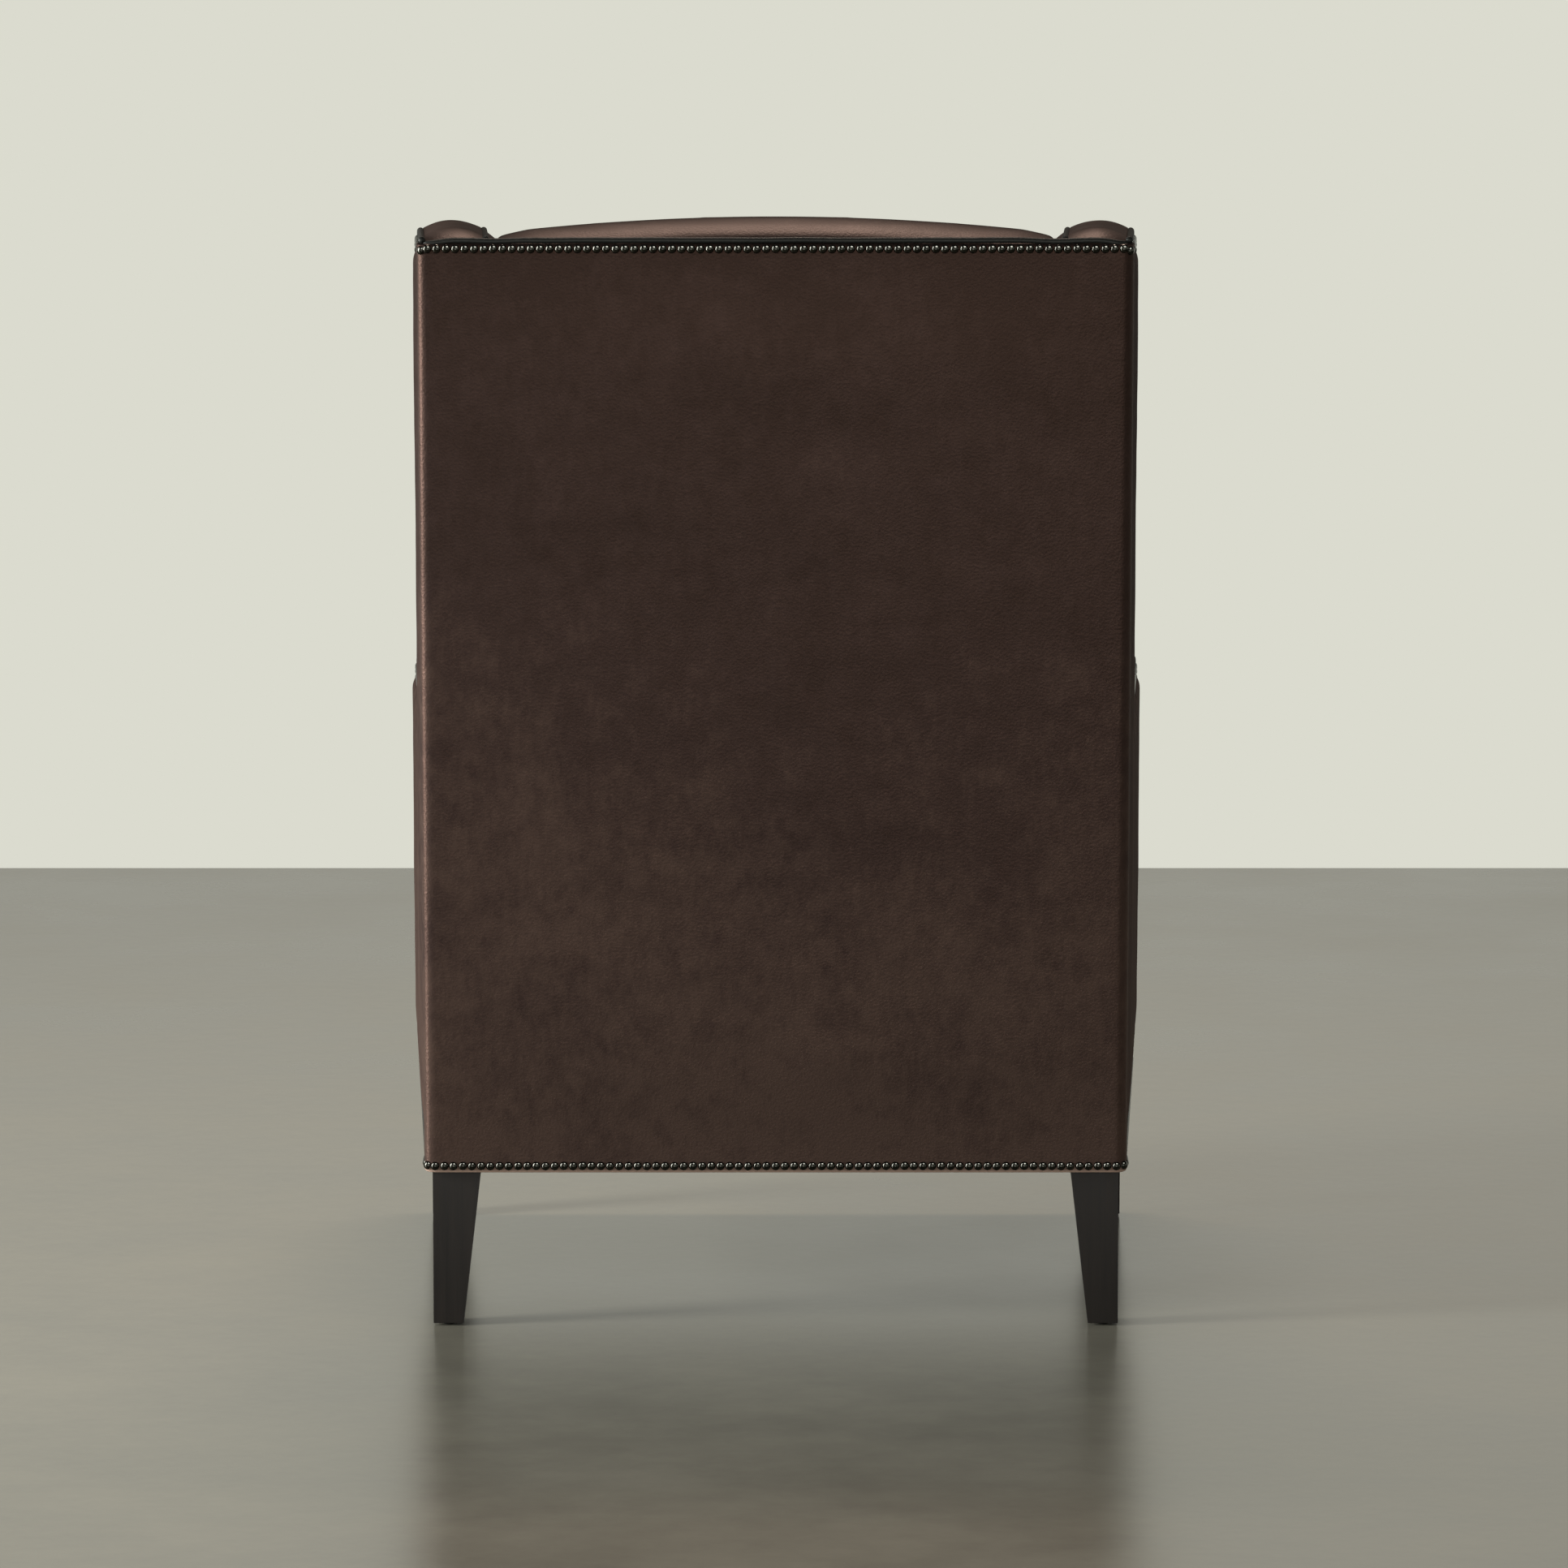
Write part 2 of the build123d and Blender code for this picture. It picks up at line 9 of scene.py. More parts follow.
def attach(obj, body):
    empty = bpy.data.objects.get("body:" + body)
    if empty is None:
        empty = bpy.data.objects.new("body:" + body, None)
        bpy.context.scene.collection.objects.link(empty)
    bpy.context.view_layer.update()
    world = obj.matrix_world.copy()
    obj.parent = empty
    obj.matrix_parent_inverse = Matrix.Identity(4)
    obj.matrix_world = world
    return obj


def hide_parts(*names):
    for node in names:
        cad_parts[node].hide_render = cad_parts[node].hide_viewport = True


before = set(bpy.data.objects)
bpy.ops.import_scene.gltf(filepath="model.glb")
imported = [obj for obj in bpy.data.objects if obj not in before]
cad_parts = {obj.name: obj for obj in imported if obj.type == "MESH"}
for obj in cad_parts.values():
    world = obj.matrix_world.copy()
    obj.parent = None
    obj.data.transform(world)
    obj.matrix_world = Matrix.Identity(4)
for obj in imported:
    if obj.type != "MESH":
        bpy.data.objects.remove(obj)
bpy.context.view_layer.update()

scene = bpy.context.scene
scene.view_settings.view_transform = "Standard"
bpy.ops.object.select_all(action="DESELECT")
print("frame loaded,", len(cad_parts), "solids")


# finishes

def linear(code):
    channels = [int(code[i:i + 2], 16) / 255 for i in (1, 3, 5)]
    return [c / 12.92 if c <= 0.04045 else ((c + 0.055) / 1.055) ** 2.4 for c in channels] + [1.0]


def addNode(tree, kind, settings=None, links=None, stops=None):
    node = tree.nodes.new(kind)
    for name, value in (settings or {}).items():
        if isinstance(name, int) or name in node.inputs:
            node.inputs[name].default_value = value
        else:
            setattr(node, name, value)
    for name, socket in (links or {}).items():
        tree.links.new(socket, node.inputs[name])
    for spot, (position, colour) in enumerate(stops or []):
        bands = node.color_ramp.elements
        band = bands[spot] if spot < 2 else bands.new(position)
        band.position, band.color = position, linear(colour)
    return node


def newFinish(name, settings):
    finish = bpy.data.materials.new(name)
    finish.use_nodes = True
    tree = finish.node_tree
    tree.nodes.clear()
    shader = addNode(tree, "ShaderNodeBsdfPrincipled", settings)
    addNode(tree, "ShaderNodeOutputMaterial", links={"Surface": shader.outputs[0]})
    place = addNode(tree, "ShaderNodeTexCoord").outputs["Object"]
    return finish, tree, shader, place


# waxed pull-up cowhide: cloudy dark brown, paler where the wax has moved, a satin sheen and a fine pebble,
# with painted light from below: paler towards the floor, and a painted highlight along the rolled lower edge
leatherLook = {
    "cloud": 0.15, "mottle": 0.024, "streak": 0.007, "pebble": 0.0026, "pore": 0.0012,  # sizes in metres
    "cloudShare": 0.55, "mottleShare": 0.42, "streakShare": 0.32, "lower": -0.5,  # shares in the paleness; lower makes it paler towards the floor, as painted bounce light
    "dark": 0.07, "middle": 0.32, "pale": 0.57, "satin": 0.45, "polished": 0.37, "edgeOn": 0.9,
    "relief": 0.0007,
}


def waxedLeather(name, tones, sheen, glow):
    finish, tree, shader, place = newFinish(
        name, {"Specular IOR Level": sheen, "Specular Tint": linear(glow)})
    cloud = addNode(tree, "ShaderNodeTexNoise",
                    {"Scale": 1 / leatherLook["cloud"], "Detail": 5.0, "Roughness": 0.6, "Distortion": 0.5},
                    {"Vector": place})
    mottle = addNode(tree, "ShaderNodeTexNoise",
                     {"Scale": 1 / leatherLook["mottle"], "Detail": 4.0, "Roughness": 0.6}, {"Vector": place})
    tall = addNode(tree, "ShaderNodeMapping", {"Scale": (1.0, 1.0, 0.35)}, {"Vector": place})
    streak = addNode(tree, "ShaderNodeTexNoise",
                     {"Scale": 1 / leatherLook["streak"], "Detail": 3.0, "Roughness": 0.65},
                     {"Vector": tall.outputs[0]})
    pebble = addNode(tree, "ShaderNodeTexVoronoi",
                     {"feature": "SMOOTH_F1", "Scale": 1 / leatherLook["pebble"], "Smoothness": 0.4},
                     {"Vector": place})  # the real grain is finer, and this coarse it still shows
    pore = addNode(tree, "ShaderNodeTexNoise", {"Scale": 1 / leatherLook["pore"], "Detail": 2.0},
                   {"Vector": place})
    soft = addNode(tree, "ShaderNodeMath", {"operation": "MULTIPLY", 1: leatherLook["cloudShare"]},
                   {0: cloud.outputs[0]})
    blotch = addNode(tree, "ShaderNodeMath", {"operation": "MULTIPLY_ADD", 1: leatherLook["mottleShare"]},
                     {0: mottle.outputs[0], 2: soft.outputs[0]})
    rubbed = addNode(tree, "ShaderNodeMath", {"operation": "MULTIPLY_ADD", 1: leatherLook["streakShare"]},
                     {0: streak.outputs[0], 2: blotch.outputs[0]})
    height = addNode(tree, "ShaderNodeSeparateXYZ", links={0: place})
    toneAndPaintedBounce = addNode(tree, "ShaderNodeMath", {"operation": "MULTIPLY_ADD", 1: leatherLook["lower"]},
                   {0: height.outputs["Z"], 2: rubbed.outputs[0]})  # paler towards the floor and darker towards the top: painted bounce light from the floor, on top of the random tone
    tone = addNode(tree, "ShaderNodeValToRGB", links={"Fac": toneAndPaintedBounce.outputs[0]},
                   stops=[(leatherLook["dark"], tones[0]), (leatherLook["pale"], tones[2]),
                          (leatherLook["middle"], tones[1])])
    # paler where it is drawn round an edge: a little for the real lightening of stretched pull-up hide,
    # mostly a painted highlight from light below
    pullAndHighlight = addNode(tree, "ShaderNodeAttribute", {"attribute_name": "pull"})
    drawn = addNode(tree, "ShaderNodeMix", {"data_type": "RGBA", 7: linear(tones[3])},
                    {0: pullAndHighlight.outputs["Fac"], 6: tone.outputs["Color"]})
    tree.links.new(drawn.outputs[2], shader.inputs["Base Color"])
    gloss = addNode(tree, "ShaderNodeMapRange",
                    {"From Min": 0.05, "From Max": 0.6, "To Min": leatherLook["satin"],
                     "To Max": leatherLook["polished"]}, {"Value": toneAndPaintedBounce.outputs[0]})
    # the fine grain breaks up the glare where the hide is seen edge-on
    facing = addNode(tree, "ShaderNodeLayerWeight", {"Blend": 0.5})
    glance = addNode(tree, "ShaderNodeMath", {"operation": "POWER", 1: 4.0}, {0: facing.outputs["Facing"]})
    matt = addNode(tree, "ShaderNodeMath",
                   {"operation": "MULTIPLY_ADD", 1: leatherLook["edgeOn"], "use_clamp": True},
                   {0: glance.outputs[0], 2: gloss.outputs[0]})
    tree.links.new(matt.outputs[0], shader.inputs["Roughness"])
    relief = addNode(tree, "ShaderNodeMath", {"operation": "MULTIPLY_ADD", 1: 0.5},
                     {0: pore.outputs[0], 2: pebble.outputs[0]})
    bump = addNode(tree, "ShaderNodeBump", {"Strength": 0.22, "Distance": leatherLook["relief"]},
                   {"Height": relief.outputs[0]})
    tree.links.new(bump.outputs[0], shader.inputs["Normal"])
    return finish


# dark, middle and pale tones, and the tone of a drawn edge, which is mostly a painted highlight
leather = waxedLeather("waxed pull-up leather", ("#1b1717", "#2d2524", "#483b35", "#c8ac9b"), 0.5, "#ffc8ae")
weltLeather = waxedLeather("charcoal piping leather", ("#252624", "#2b2c2a", "#333431", "#3c3d39"), 0.34,
                           "#f4f6ee")


# blackened steel: an oil-black skin over polished domes, so dark with small sharp lights
def blackenedSteel():
    finish, tree, shader, place = newFinish("blackened steel", {"Metallic": 1.0})
    patch = addNode(tree, "ShaderNodeTexNoise", {"Scale": 1 / 0.00385, "Detail": 3.0}, {"Vector": place})
    tone = addNode(tree, "ShaderNodeValToRGB", links={"Fac": patch.outputs[0]},
                   stops=[(0.35, "#363632"), (0.7, "#4a4a45")])
    tree.links.new(tone.outputs["Color"], shader.inputs["Base Color"])
    rub = addNode(tree, "ShaderNodeMapRange", {"To Min": 0.1, "To Max": 0.18}, {"Value": patch.outputs[0]})
    tree.links.new(rub.outputs[0], shader.inputs["Roughness"])
    return finish


nailSteel = blackenedSteel()


# long-grained wood: streaks along the piece, with pores that catch the finish
def grainedWood(name, tones, roughness, along):
    finish, tree, shader, place = newFinish(name, {"Specular IOR Level": 0.45})
    stretch = [1.0, 1.0, 1.0]
    stretch[along] = 0.045
    flow = addNode(tree, "ShaderNodeMapping", {"Scale": stretch}, {"Vector": place})
    figure = addNode(tree, "ShaderNodeTexNoise", {"Scale": 1 / 0.009, "Detail": 4.0, "Distortion": 0.4},
                     {"Vector": flow.outputs[0]})
    pores = addNode(tree, "ShaderNodeTexNoise", {"Scale": 1 / 0.0016, "Detail": 2.0},
                    {"Vector": flow.outputs[0]})
    mixed = addNode(tree, "ShaderNodeMath", {"operation": "MULTIPLY_ADD", 1: 0.45},
                    {0: pores.outputs[0], 2: figure.outputs[0]})
    tone = addNode(tree, "ShaderNodeValToRGB", links={"Fac": mixed.outputs[0]},
                   stops=[(0.5, tones[0]), (0.95, tones[1])])
    tree.links.new(tone.outputs["Color"], shader.inputs["Base Color"])
    rub = addNode(tree, "ShaderNodeMapRange", {"To Min": roughness - 0.06, "To Max": roughness + 0.08},
                  {"Value": mixed.outputs[0]})
    tree.links.new(rub.outputs[0], shader.inputs["Roughness"])
    bump = addNode(tree, "ShaderNodeBump", {"Strength": 0.25, "Distance": 0.0004},
                   {"Height": mixed.outputs[0]})
    tree.links.new(bump.outputs[0], shader.inputs["Normal"])
    return finish


ebonyWood = grainedWood("ebony-stained ash", ("#171310", "#241e19"), 0.5, 2)
beechLengthwise = grainedWood("sawn beech, grain front to back", ("#b48f66", "#d2b48c"), 0.62, 1)
beechUpright = grainedWood("sawn beech, upright grain", ("#b48f66", "#d2b48c"), 0.62, 2)
beechAcross = grainedWood("sawn beech, grain across", ("#b48f66", "#d2b48c"), 0.62, 0)


# woven goods: rubber webbing with a coarse rib, and thin black polypropylene under the seat
def wovenCloth(name, tones, thread, roughness):
    finish, tree, shader, place = newFinish(name, {"Specular IOR Level": 0.3, "Sheen Weight": 0.15})
    # a rib is about six threads wide, because single threads are too fine to show
    ribs = {"Scale": 0.05 / thread, "Distortion": 0.6}
    weft, warp = (addNode(tree, "ShaderNodeTexWave", {"bands_direction": way, **ribs}, {"Vector": place})
                  for way in ("X", "Y"))
    weave = addNode(tree, "ShaderNodeMath", {"operation": "MAXIMUM"},
                    {0: weft.outputs[1], 1: warp.outputs[1]})
    tone = addNode(tree, "ShaderNodeValToRGB", links={"Fac": weave.outputs[0]},
                   stops=[(0.3, tones[0]), (1.0, tones[1])])
    tree.links.new(tone.outputs["Color"], shader.inputs["Base Color"])
    rub = addNode(tree, "ShaderNodeMapRange", {"To Min": roughness, "To Max": roughness + 0.1},
                  {"Value": weave.outputs[0]})
    tree.links.new(rub.outputs[0], shader.inputs["Roughness"])
    bump = addNode(tree, "ShaderNodeBump", {"Strength": 0.4, "Distance": 0.0005},
                   {"Height": weave.outputs[0]})
    tree.links.new(bump.outputs[0], shader.inputs["Normal"])
    return finish


webbingWeave = wovenCloth("woven rubber webbing", ("#6e5a41", "#a58a66"), 0.004, 0.7)
dustWeave = wovenCloth("black spun polypropylene", ("#171717", "#2a2a2a"), 0.003, 0.8)


# hard trims: zinc-plated bolts and moulded nylon glides
def trimFinish(name, settings, tones, speck, rubLow, rubHigh):
    finish, tree, shader, place = newFinish(name, settings)
    patch = addNode(tree, "ShaderNodeTexNoise", {"Scale": 1 / speck, "Detail": 3.0}, {"Vector": place})
    tone = addNode(tree, "ShaderNodeValToRGB", links={"Fac": patch.outputs[0]},
                   stops=[(0.3, tones[0]), (0.75, tones[1])])
    tree.links.new(tone.outputs["Color"], shader.inputs["Base Color"])
    rub = addNode(tree, "ShaderNodeMapRange", {"To Min": rubLow, "To Max": rubHigh},
                  {"Value": patch.outputs[0]})
    tree.links.new(rub.outputs[0], shader.inputs["Roughness"])
    return finish


zincSteel = trimFinish("zinc-plated steel", {"Metallic": 1.0}, ("#9a9c9e", "#c4c6c8"), 0.004, 0.28, 0.45)
glideNylon = trimFinish("moulded black nylon", {"IOR": 1.53}, ("#191919", "#262626"), 0.002, 0.35, 0.5)
print("finishes ready")


# the lines that all the upholstery follows, in metres and degrees
chairLines = {
    "rake": 6.83, "splay": 2.6, "rearY": 0.3052, "sideX": 0.3166, "legHeight": 0.158, "foot": 0.1583,
    "wingTop": 1.1095, "armTop": 0.605, "armFront": -0.718, "wingDepth": 0.19, "wingLean": 5.0,
    "wingRound": 0.055, "dipRound": 0.095, "armRound": 0.042, "weltLayer": 0.0316,
}
rake, splay = radians(chairLines["rake"]), radians(chairLines["splay"])
wingLean = radians(chairLines["wingLean"])
backUp = Vector((0, sin(rake), cos(rake)))
backOut = Vector((0, cos(rake), -sin(rake)))
backFoot = Vector((0, chairLines["rearY"], chairLines["legHeight"]))


def backPoint(across, rise, depth):
    return backFoot + Vector((across, 0, 0)) + backUp * rise - backOut * depth


def sideAxes(side):
    outward = Vector((side * cos(splay), sin(splay), -sin(splay) * tan(rake))).normalized()
    rearward = Vector((-side * sin(splay), cos(splay), 0))
    return outward, rearward, outward.cross(rearward) * side


def sideOrigin(side):
    return Vector((side * chairLines["sideX"], chairLines["rearY"], 0))


def sidePoint(side, along, height, out):
    outward, rearward, upward = sideAxes(side)
    return sideOrigin(side) + rearward * along + upward * height + outward * out


def sideCoordinates(side, point):
    outward, rearward, upward = sideAxes(side)
    arm = point - sideOrigin(side)
    return arm.dot(rearward), arm.dot(upward), arm.dot(outward)


def wingFront(height, inset):
    top = (chairLines["wingTop"] - chairLines["legHeight"]) * tan(rake) - chairLines["wingDepth"]
    return top - (chairLines["wingTop"] - height) * tan(wingLean) + inset / cos(wingLean)


def backAlong(height, depth):  # where the raked back crosses a height, in a side's own plane
    return (height - chairLines["legHeight"]) * tan(rake) - depth / cos(rake)


def evenLine(corners, radii, spacing):
    # a polyline with rounded corners, walked in even steps: places and directions
    corners = [Vector(c) for c in corners]
    dots = [corners[0]]
    for before, corner, after, radius in zip(corners, corners[1:], corners[2:], radii):
        into, out = (corner - before).normalized(), (after - corner).normalized()
        turn = into.angle_signed(out)
        reach = radius * tan(abs(turn) / 2)
        start = corner - into * reach
        hand = 1 if into.x * out.y - into.y * out.x > 0 else -1
        centre = start + Vector((-into.y, into.x)) * hand * radius
        steps = max(3, ceil(abs(turn) / radians(4)))
        for step in range(steps + 1):
            angle = hand * abs(turn) * step / steps
            arm = start - centre
            dots.append(centre + Vector((arm.x * cos(angle) - arm.y * sin(angle),
                                         arm.x * sin(angle) + arm.y * cos(angle))))
    dots.append(corners[-1])
    spans = [(b - a).length for a, b in zip(dots, dots[1:])]
    total = sum(spans)
    count = max(2, round(total / spacing))
    walked, leg, places = 0.0, 0, []
    for stop in range(count + 1):
        target = total * stop / count
        while leg < len(spans) - 1 and walked + spans[leg] < target:
            walked += spans[leg]
            leg += 1
        share = (target - walked) / spans[leg] if spans[leg] else 0
        places.append(dots[leg].lerp(dots[leg + 1], min(1, max(0, share))))
    ways = []
    for stop in range(count + 1):
        ways.append((places[min(count, stop + 1)] - places[max(0, stop - 1)]).normalized())
    return list(zip(places, ways))


def edgeCorners(inset, depth):
    top, arm = chairLines["wingTop"] - inset, chairLines["armTop"] - inset
    front = chairLines["armFront"] + inset
    corners = [(backAlong(top, depth), top), (wingFront(top, inset), top), (wingFront(arm, inset), arm),
               (front, arm), (front, chairLines["foot"])]
    radii = [max(chairLines["wingRound"] - inset, 0.001), chairLines["dipRound"] + inset,
             max(chairLines["armRound"] - inset, 0.001)]
    return corners, radii


def edgeLine(inset, depth, spacing):
    corners, radii = edgeCorners(inset, depth)
    return evenLine(corners, radii, spacing)


def smooth(low, high, value):
    share = min(1.0, max(0.0, (value - low) / (high - low)))
    return share * share * (3 - 2 * share)


def ripple(point, size, seed=0.0):
    return noise.noise(Vector((point[0] / size + seed, point[1] / size - seed, point[2] / size + 2 * seed)))


# handling of pieces

def takeUp(piece):
    bpy.ops.object.select_all(action="DESELECT")
    piece.select_set(True)
    bpy.context.view_layer.objects.active = piece


def closeSeams(piece, fill):
    takeUp(piece)
    bpy.ops.object.mode_set(mode="EDIT")
    bpy.ops.mesh.select_all(action="SELECT")
    bpy.ops.mesh.remove_doubles(threshold=0.00002)
    if fill:
        bpy.ops.mesh.fill_holes(sides=0)
        bpy.ops.mesh.select_all(action="SELECT")
    bpy.ops.mesh.normals_make_consistent(inside=False)
    bpy.ops.object.mode_set(mode="OBJECT")


def applied(piece, kind, settings):
    takeUp(piece)
    modifier = piece.modifiers.new(kind.lower(), kind)
    for name, value in settings.items():
        setattr(modifier, name, value)
    bpy.ops.object.modifier_apply(modifier=modifier.name)


def dress(piece, body, finish, nodes, angle=None):
    piece.data.materials.clear()
    piece.data.materials.append(finish)
    takeUp(piece)
    if angle is None:
        bpy.ops.object.shade_smooth()
    else:
        bpy.ops.object.shade_smooth_by_angle(angle=radians(angle))
    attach(piece, body)
    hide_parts(*nodes)
    piece.select_set(False)


def newGrid(name, across, along):
    bpy.ops.object.select_all(action="DESELECT")
    bpy.ops.mesh.primitive_grid_add(x_subdivisions=across, y_subdivisions=along, size=1.0)
    piece = bpy.context.object
    piece.name = piece.data.name = name
    return piece


def sweptPiece(name, rings, closed=False):
    # a flat grid is wrapped along the line, one row for each ring of points
    around, rows = len(rings[0]), len(rings)
    piece = newGrid(name, around, rows - 1)
    for vertex in piece.data.vertices:
        spot = round((vertex.co.x + 0.5) * around) % around
        row = round((vertex.co.y + 0.5) * (rows - 1))
        vertex.co = rings[row][spot]
    closeSeams(piece, not closed)
    return piece


def softCopy(name, node, voxel):
    # the solid's own surface, merged and remeshed fine enough to swell
    piece = bpy.data.objects.new(name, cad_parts[node].data.copy())
    scene.collection.objects.link(piece)
    closeSeams(piece, False)
    applied(piece, "REMESH", {"mode": "VOXEL", "voxel_size": voxel, "adaptivity": 0.0})
    return piece


settling = 20  # frames of simulation for each stuffed piece


def stuff(piece, pressure, cap, freedom):
    # filled like a bag, with each point held near its start by how free it is
    starts = [v.co.copy() for v in piece.data.vertices]
    takeUp(piece)
    cloth = piece.modifiers.new("filling", "CLOTH")
    cloth.settings.use_pressure = True
    cloth.settings.uniform_pressure_force = pressure
    cloth.settings.effector_weights.gravity = 0.0
    cloth.settings.quality = 4
    cloth.settings.mass = 0.35
    cloth.settings.tension_stiffness = 18.0
    cloth.settings.compression_stiffness = 18.0
    cloth.settings.bending_stiffness = 1.2
    for step in range(1, settling + 1):
        scene.frame_set(step)
    bpy.ops.object.modifier_apply(modifier=cloth.name)
    scene.frame_set(1)
    for vertex, start in zip(piece.data.vertices, starts):
        moved = vertex.co - start
        limit = cap * freedom(start)
        if moved.length > limit:
            vertex.co = start + moved * (limit / moved.length)


def finishSoft(piece, rounds):
    applied(piece, "SMOOTH", {"factor": 0.5, "iterations": rounds})
    applied(piece, "SUBSURF", {"levels": 1, "render_levels": 1})


# outside back: one hide over the whole back, wrapped round both rear corners, its lower edge rolled under
outsideBack = {"half": 0.355, "height": 0.9545, "bend": 0.0125, "corner": 0.009, "skin": 0.010,
               "roll": 0.0035, "puff": 0.0030, "step": 0.007, "thick": 0.0016, "pullHighlightTo": 0.006}


def backContour():
    half, bend, corner, skin = (outsideBack[key] for key in ("half", "bend", "corner", "skin"))
    flat = half - bend
    line = [(half, skin, 1.0, 0.0), (half, (skin + corner) / 2, 1.0, 0.0)]
    for step in range(11):
        turn = pi / 2 * step / 10
        facing = Vector((cos(turn) / bend, sin(turn) / corner)).normalized()
        line.append((flat + bend * cos(turn), corner * (1 - sin(turn)), facing.x, facing.y))
    count = round(2 * flat / outsideBack["step"])
    for step in range(1, count):
        line.append((flat - 2 * flat * step / count, 0.0, 0.0, 1.0))
    return line + [(-x, depth, -nx, ny) for x, depth, nx, ny in reversed(line[:13])]


def backPuff(across, rise):
    # stuffing under the hide: fullest in the middle, drawn down along the nails
    half, height = outsideBack["half"], outsideBack["height"]
    sideways = max(0.0, 1 - abs(across / half) ** 3.0)
    upward = smooth(0.012, 0.14, rise) * smooth(0.012, 0.14, height - rise)
    wave = 0.0007 * ripple((across, rise, 0), 0.11, 3.0) + 0.0003 * ripple((across, rise, 0), 0.035, 8.0)
    return (outsideBack["puff"] + wave) * sideways * upward


def makeOutsideBack():
    contour = backContour()
    roll, height = outsideBack["roll"], outsideBack["height"]
    rises = [(roll * (1 - cos(pi / 2 * s / 6)), roll * (1 - sin(pi / 2 * s / 6))) for s in range(7)]
    count = round((height - roll) / outsideBack["step"])
    rises += [(roll + (height - roll - 0.002) * s / count, 0.0) for s in range(1, count + 1)]
    rises += [(height - 0.0006, 0.0008), (height, 0.0026)]  # the top edge turns in under the piping
    across, rows = len(contour), len(rises)
    piece = newGrid("outsideBack", across - 1, rows - 1)
    for vertex in piece.data.vertices:
        x, depth, nx, ny = contour[round((vertex.co.x + 0.5) * (across - 1))]
        rise, tuck = rises[round((vertex.co.y + 0.5) * (rows - 1))]
        lift = backPuff(x, rise) - tuck
        vertex.co = backPoint(x + nx * lift, rise, depth - ny * lift)
    closeSeams(piece, False)
    # the pull mark: paler up the rolled lower edge, a little for the real lightening of stretched hide and
    # mostly as a painted highlight from light below
    pull = piece.data.attributes.new("pull", "FLOAT", "POINT")
    for vertex, mark in zip(piece.data.vertices, pull.data):
        mark.value = 1 - smooth(0.0015, outsideBack["pullHighlightTo"], (vertex.co - backFoot).dot(backUp))
    applied(piece, "SOLIDIFY", {"thickness": outsideBack["thick"], "offset": -1.0})
    dress(piece, "chair", leather, ["outside_back"])


makeOutsideBack()
print("outside back made")


# piping: a cord in a folded strip of leather, so round, with a faint unevenness
piping = {"radius": 0.0035, "rear": 0.0075, "around": 12, "spacing": 0.005, "wobble": 0.05}
backWelt = {"radius": 0.003, "half": 0.3495, "rise": 0.9575, "depth": 0.0050, "steps": 140, "sway": 0.0006,
            "droop": 0.0042, "tuck": 0.004, "dip": 0.0012, "dipAt": 0.278}


def pipingRings(line, radius, seed):
    # line gives places in space with the two directions that span the cord's section
    rings = []
    for place, first, second in line:
        thick = radius * (1 + piping["wobble"] * ripple(place, 0.03, seed))
        rings.append([place + (first * cos(2 * pi * k / piping["around"])
                               + second * sin(2 * pi * k / piping["around"])) * thick
                      for k in range(piping["around"])])
    return rings


def sideSweepLine(side, line, layer):
    outward, rearward, upward = sideAxes(side)
    swept = []
    for place, way in line:
        normal = rearward * way.y - upward * way.x
        swept.append((sidePoint(side, place.x, place.y, layer), outward, normal))
    return swept


def weltLine(side, layer):
    return sideSweepLine(side, edgeLine(0.0, piping["rear"], piping["spacing"]), layer)


def makeSideWelts():
    for side, hand in ((1, "left"), (-1, "right")):
        for edge, layer in (("outer", chairLines["weltLayer"]), ("inner", -chairLines["weltLayer"])):
            line = weltLine(side, layer)
            piece = sweptPiece(f"{edge}Welt_{hand}", pipingRings(line, piping["radius"], side + layer))
            dress(piece, "chair", weltLeather, [f"{edge}_welt_{hand}"])


def makeBackWelt():
    # it dips beside the wings, and at both ends it droops and turns in behind the corner
    half, steps = backWelt["half"], backWelt["steps"]
    line = []
    for step in range(steps + 1):
        across = half - 2 * half * step / steps
        rise = backWelt["rise"] + backWelt["sway"] * ripple((across, 0.3, 0.1), 0.05, 1.0)
        rise -= backWelt["droop"] * smooth(0.318, 0.352, abs(across))
        rise -= backWelt["dip"] * smooth(0.035, 0.0, abs(abs(across) - backWelt["dipAt"]))
        tuck = backWelt["tuck"] * smooth(0.340, half, abs(across))
        line.append((backPoint(across, rise, backWelt["depth"] + tuck), -backOut, backUp))
    piece = sweptPiece("backTopWelt", pipingRings(line, backWelt["radius"], 5.0))
    dress(piece, "chair", weltLeather, ["back_top_welt"])


makeSideWelts()
makeBackWelt()
print("piping made")


# boxing: the crowned strip between the two rows of piping, padded along the top of wing and arm
boxing = {"half": 0.0289, "depth": 0.011, "crown": 0.0104, "lift": 0.0030, "roll": 0.030, "drop": 0.0088,
          "rear": 0.0045, "spacing": 0.004, "across": 18}


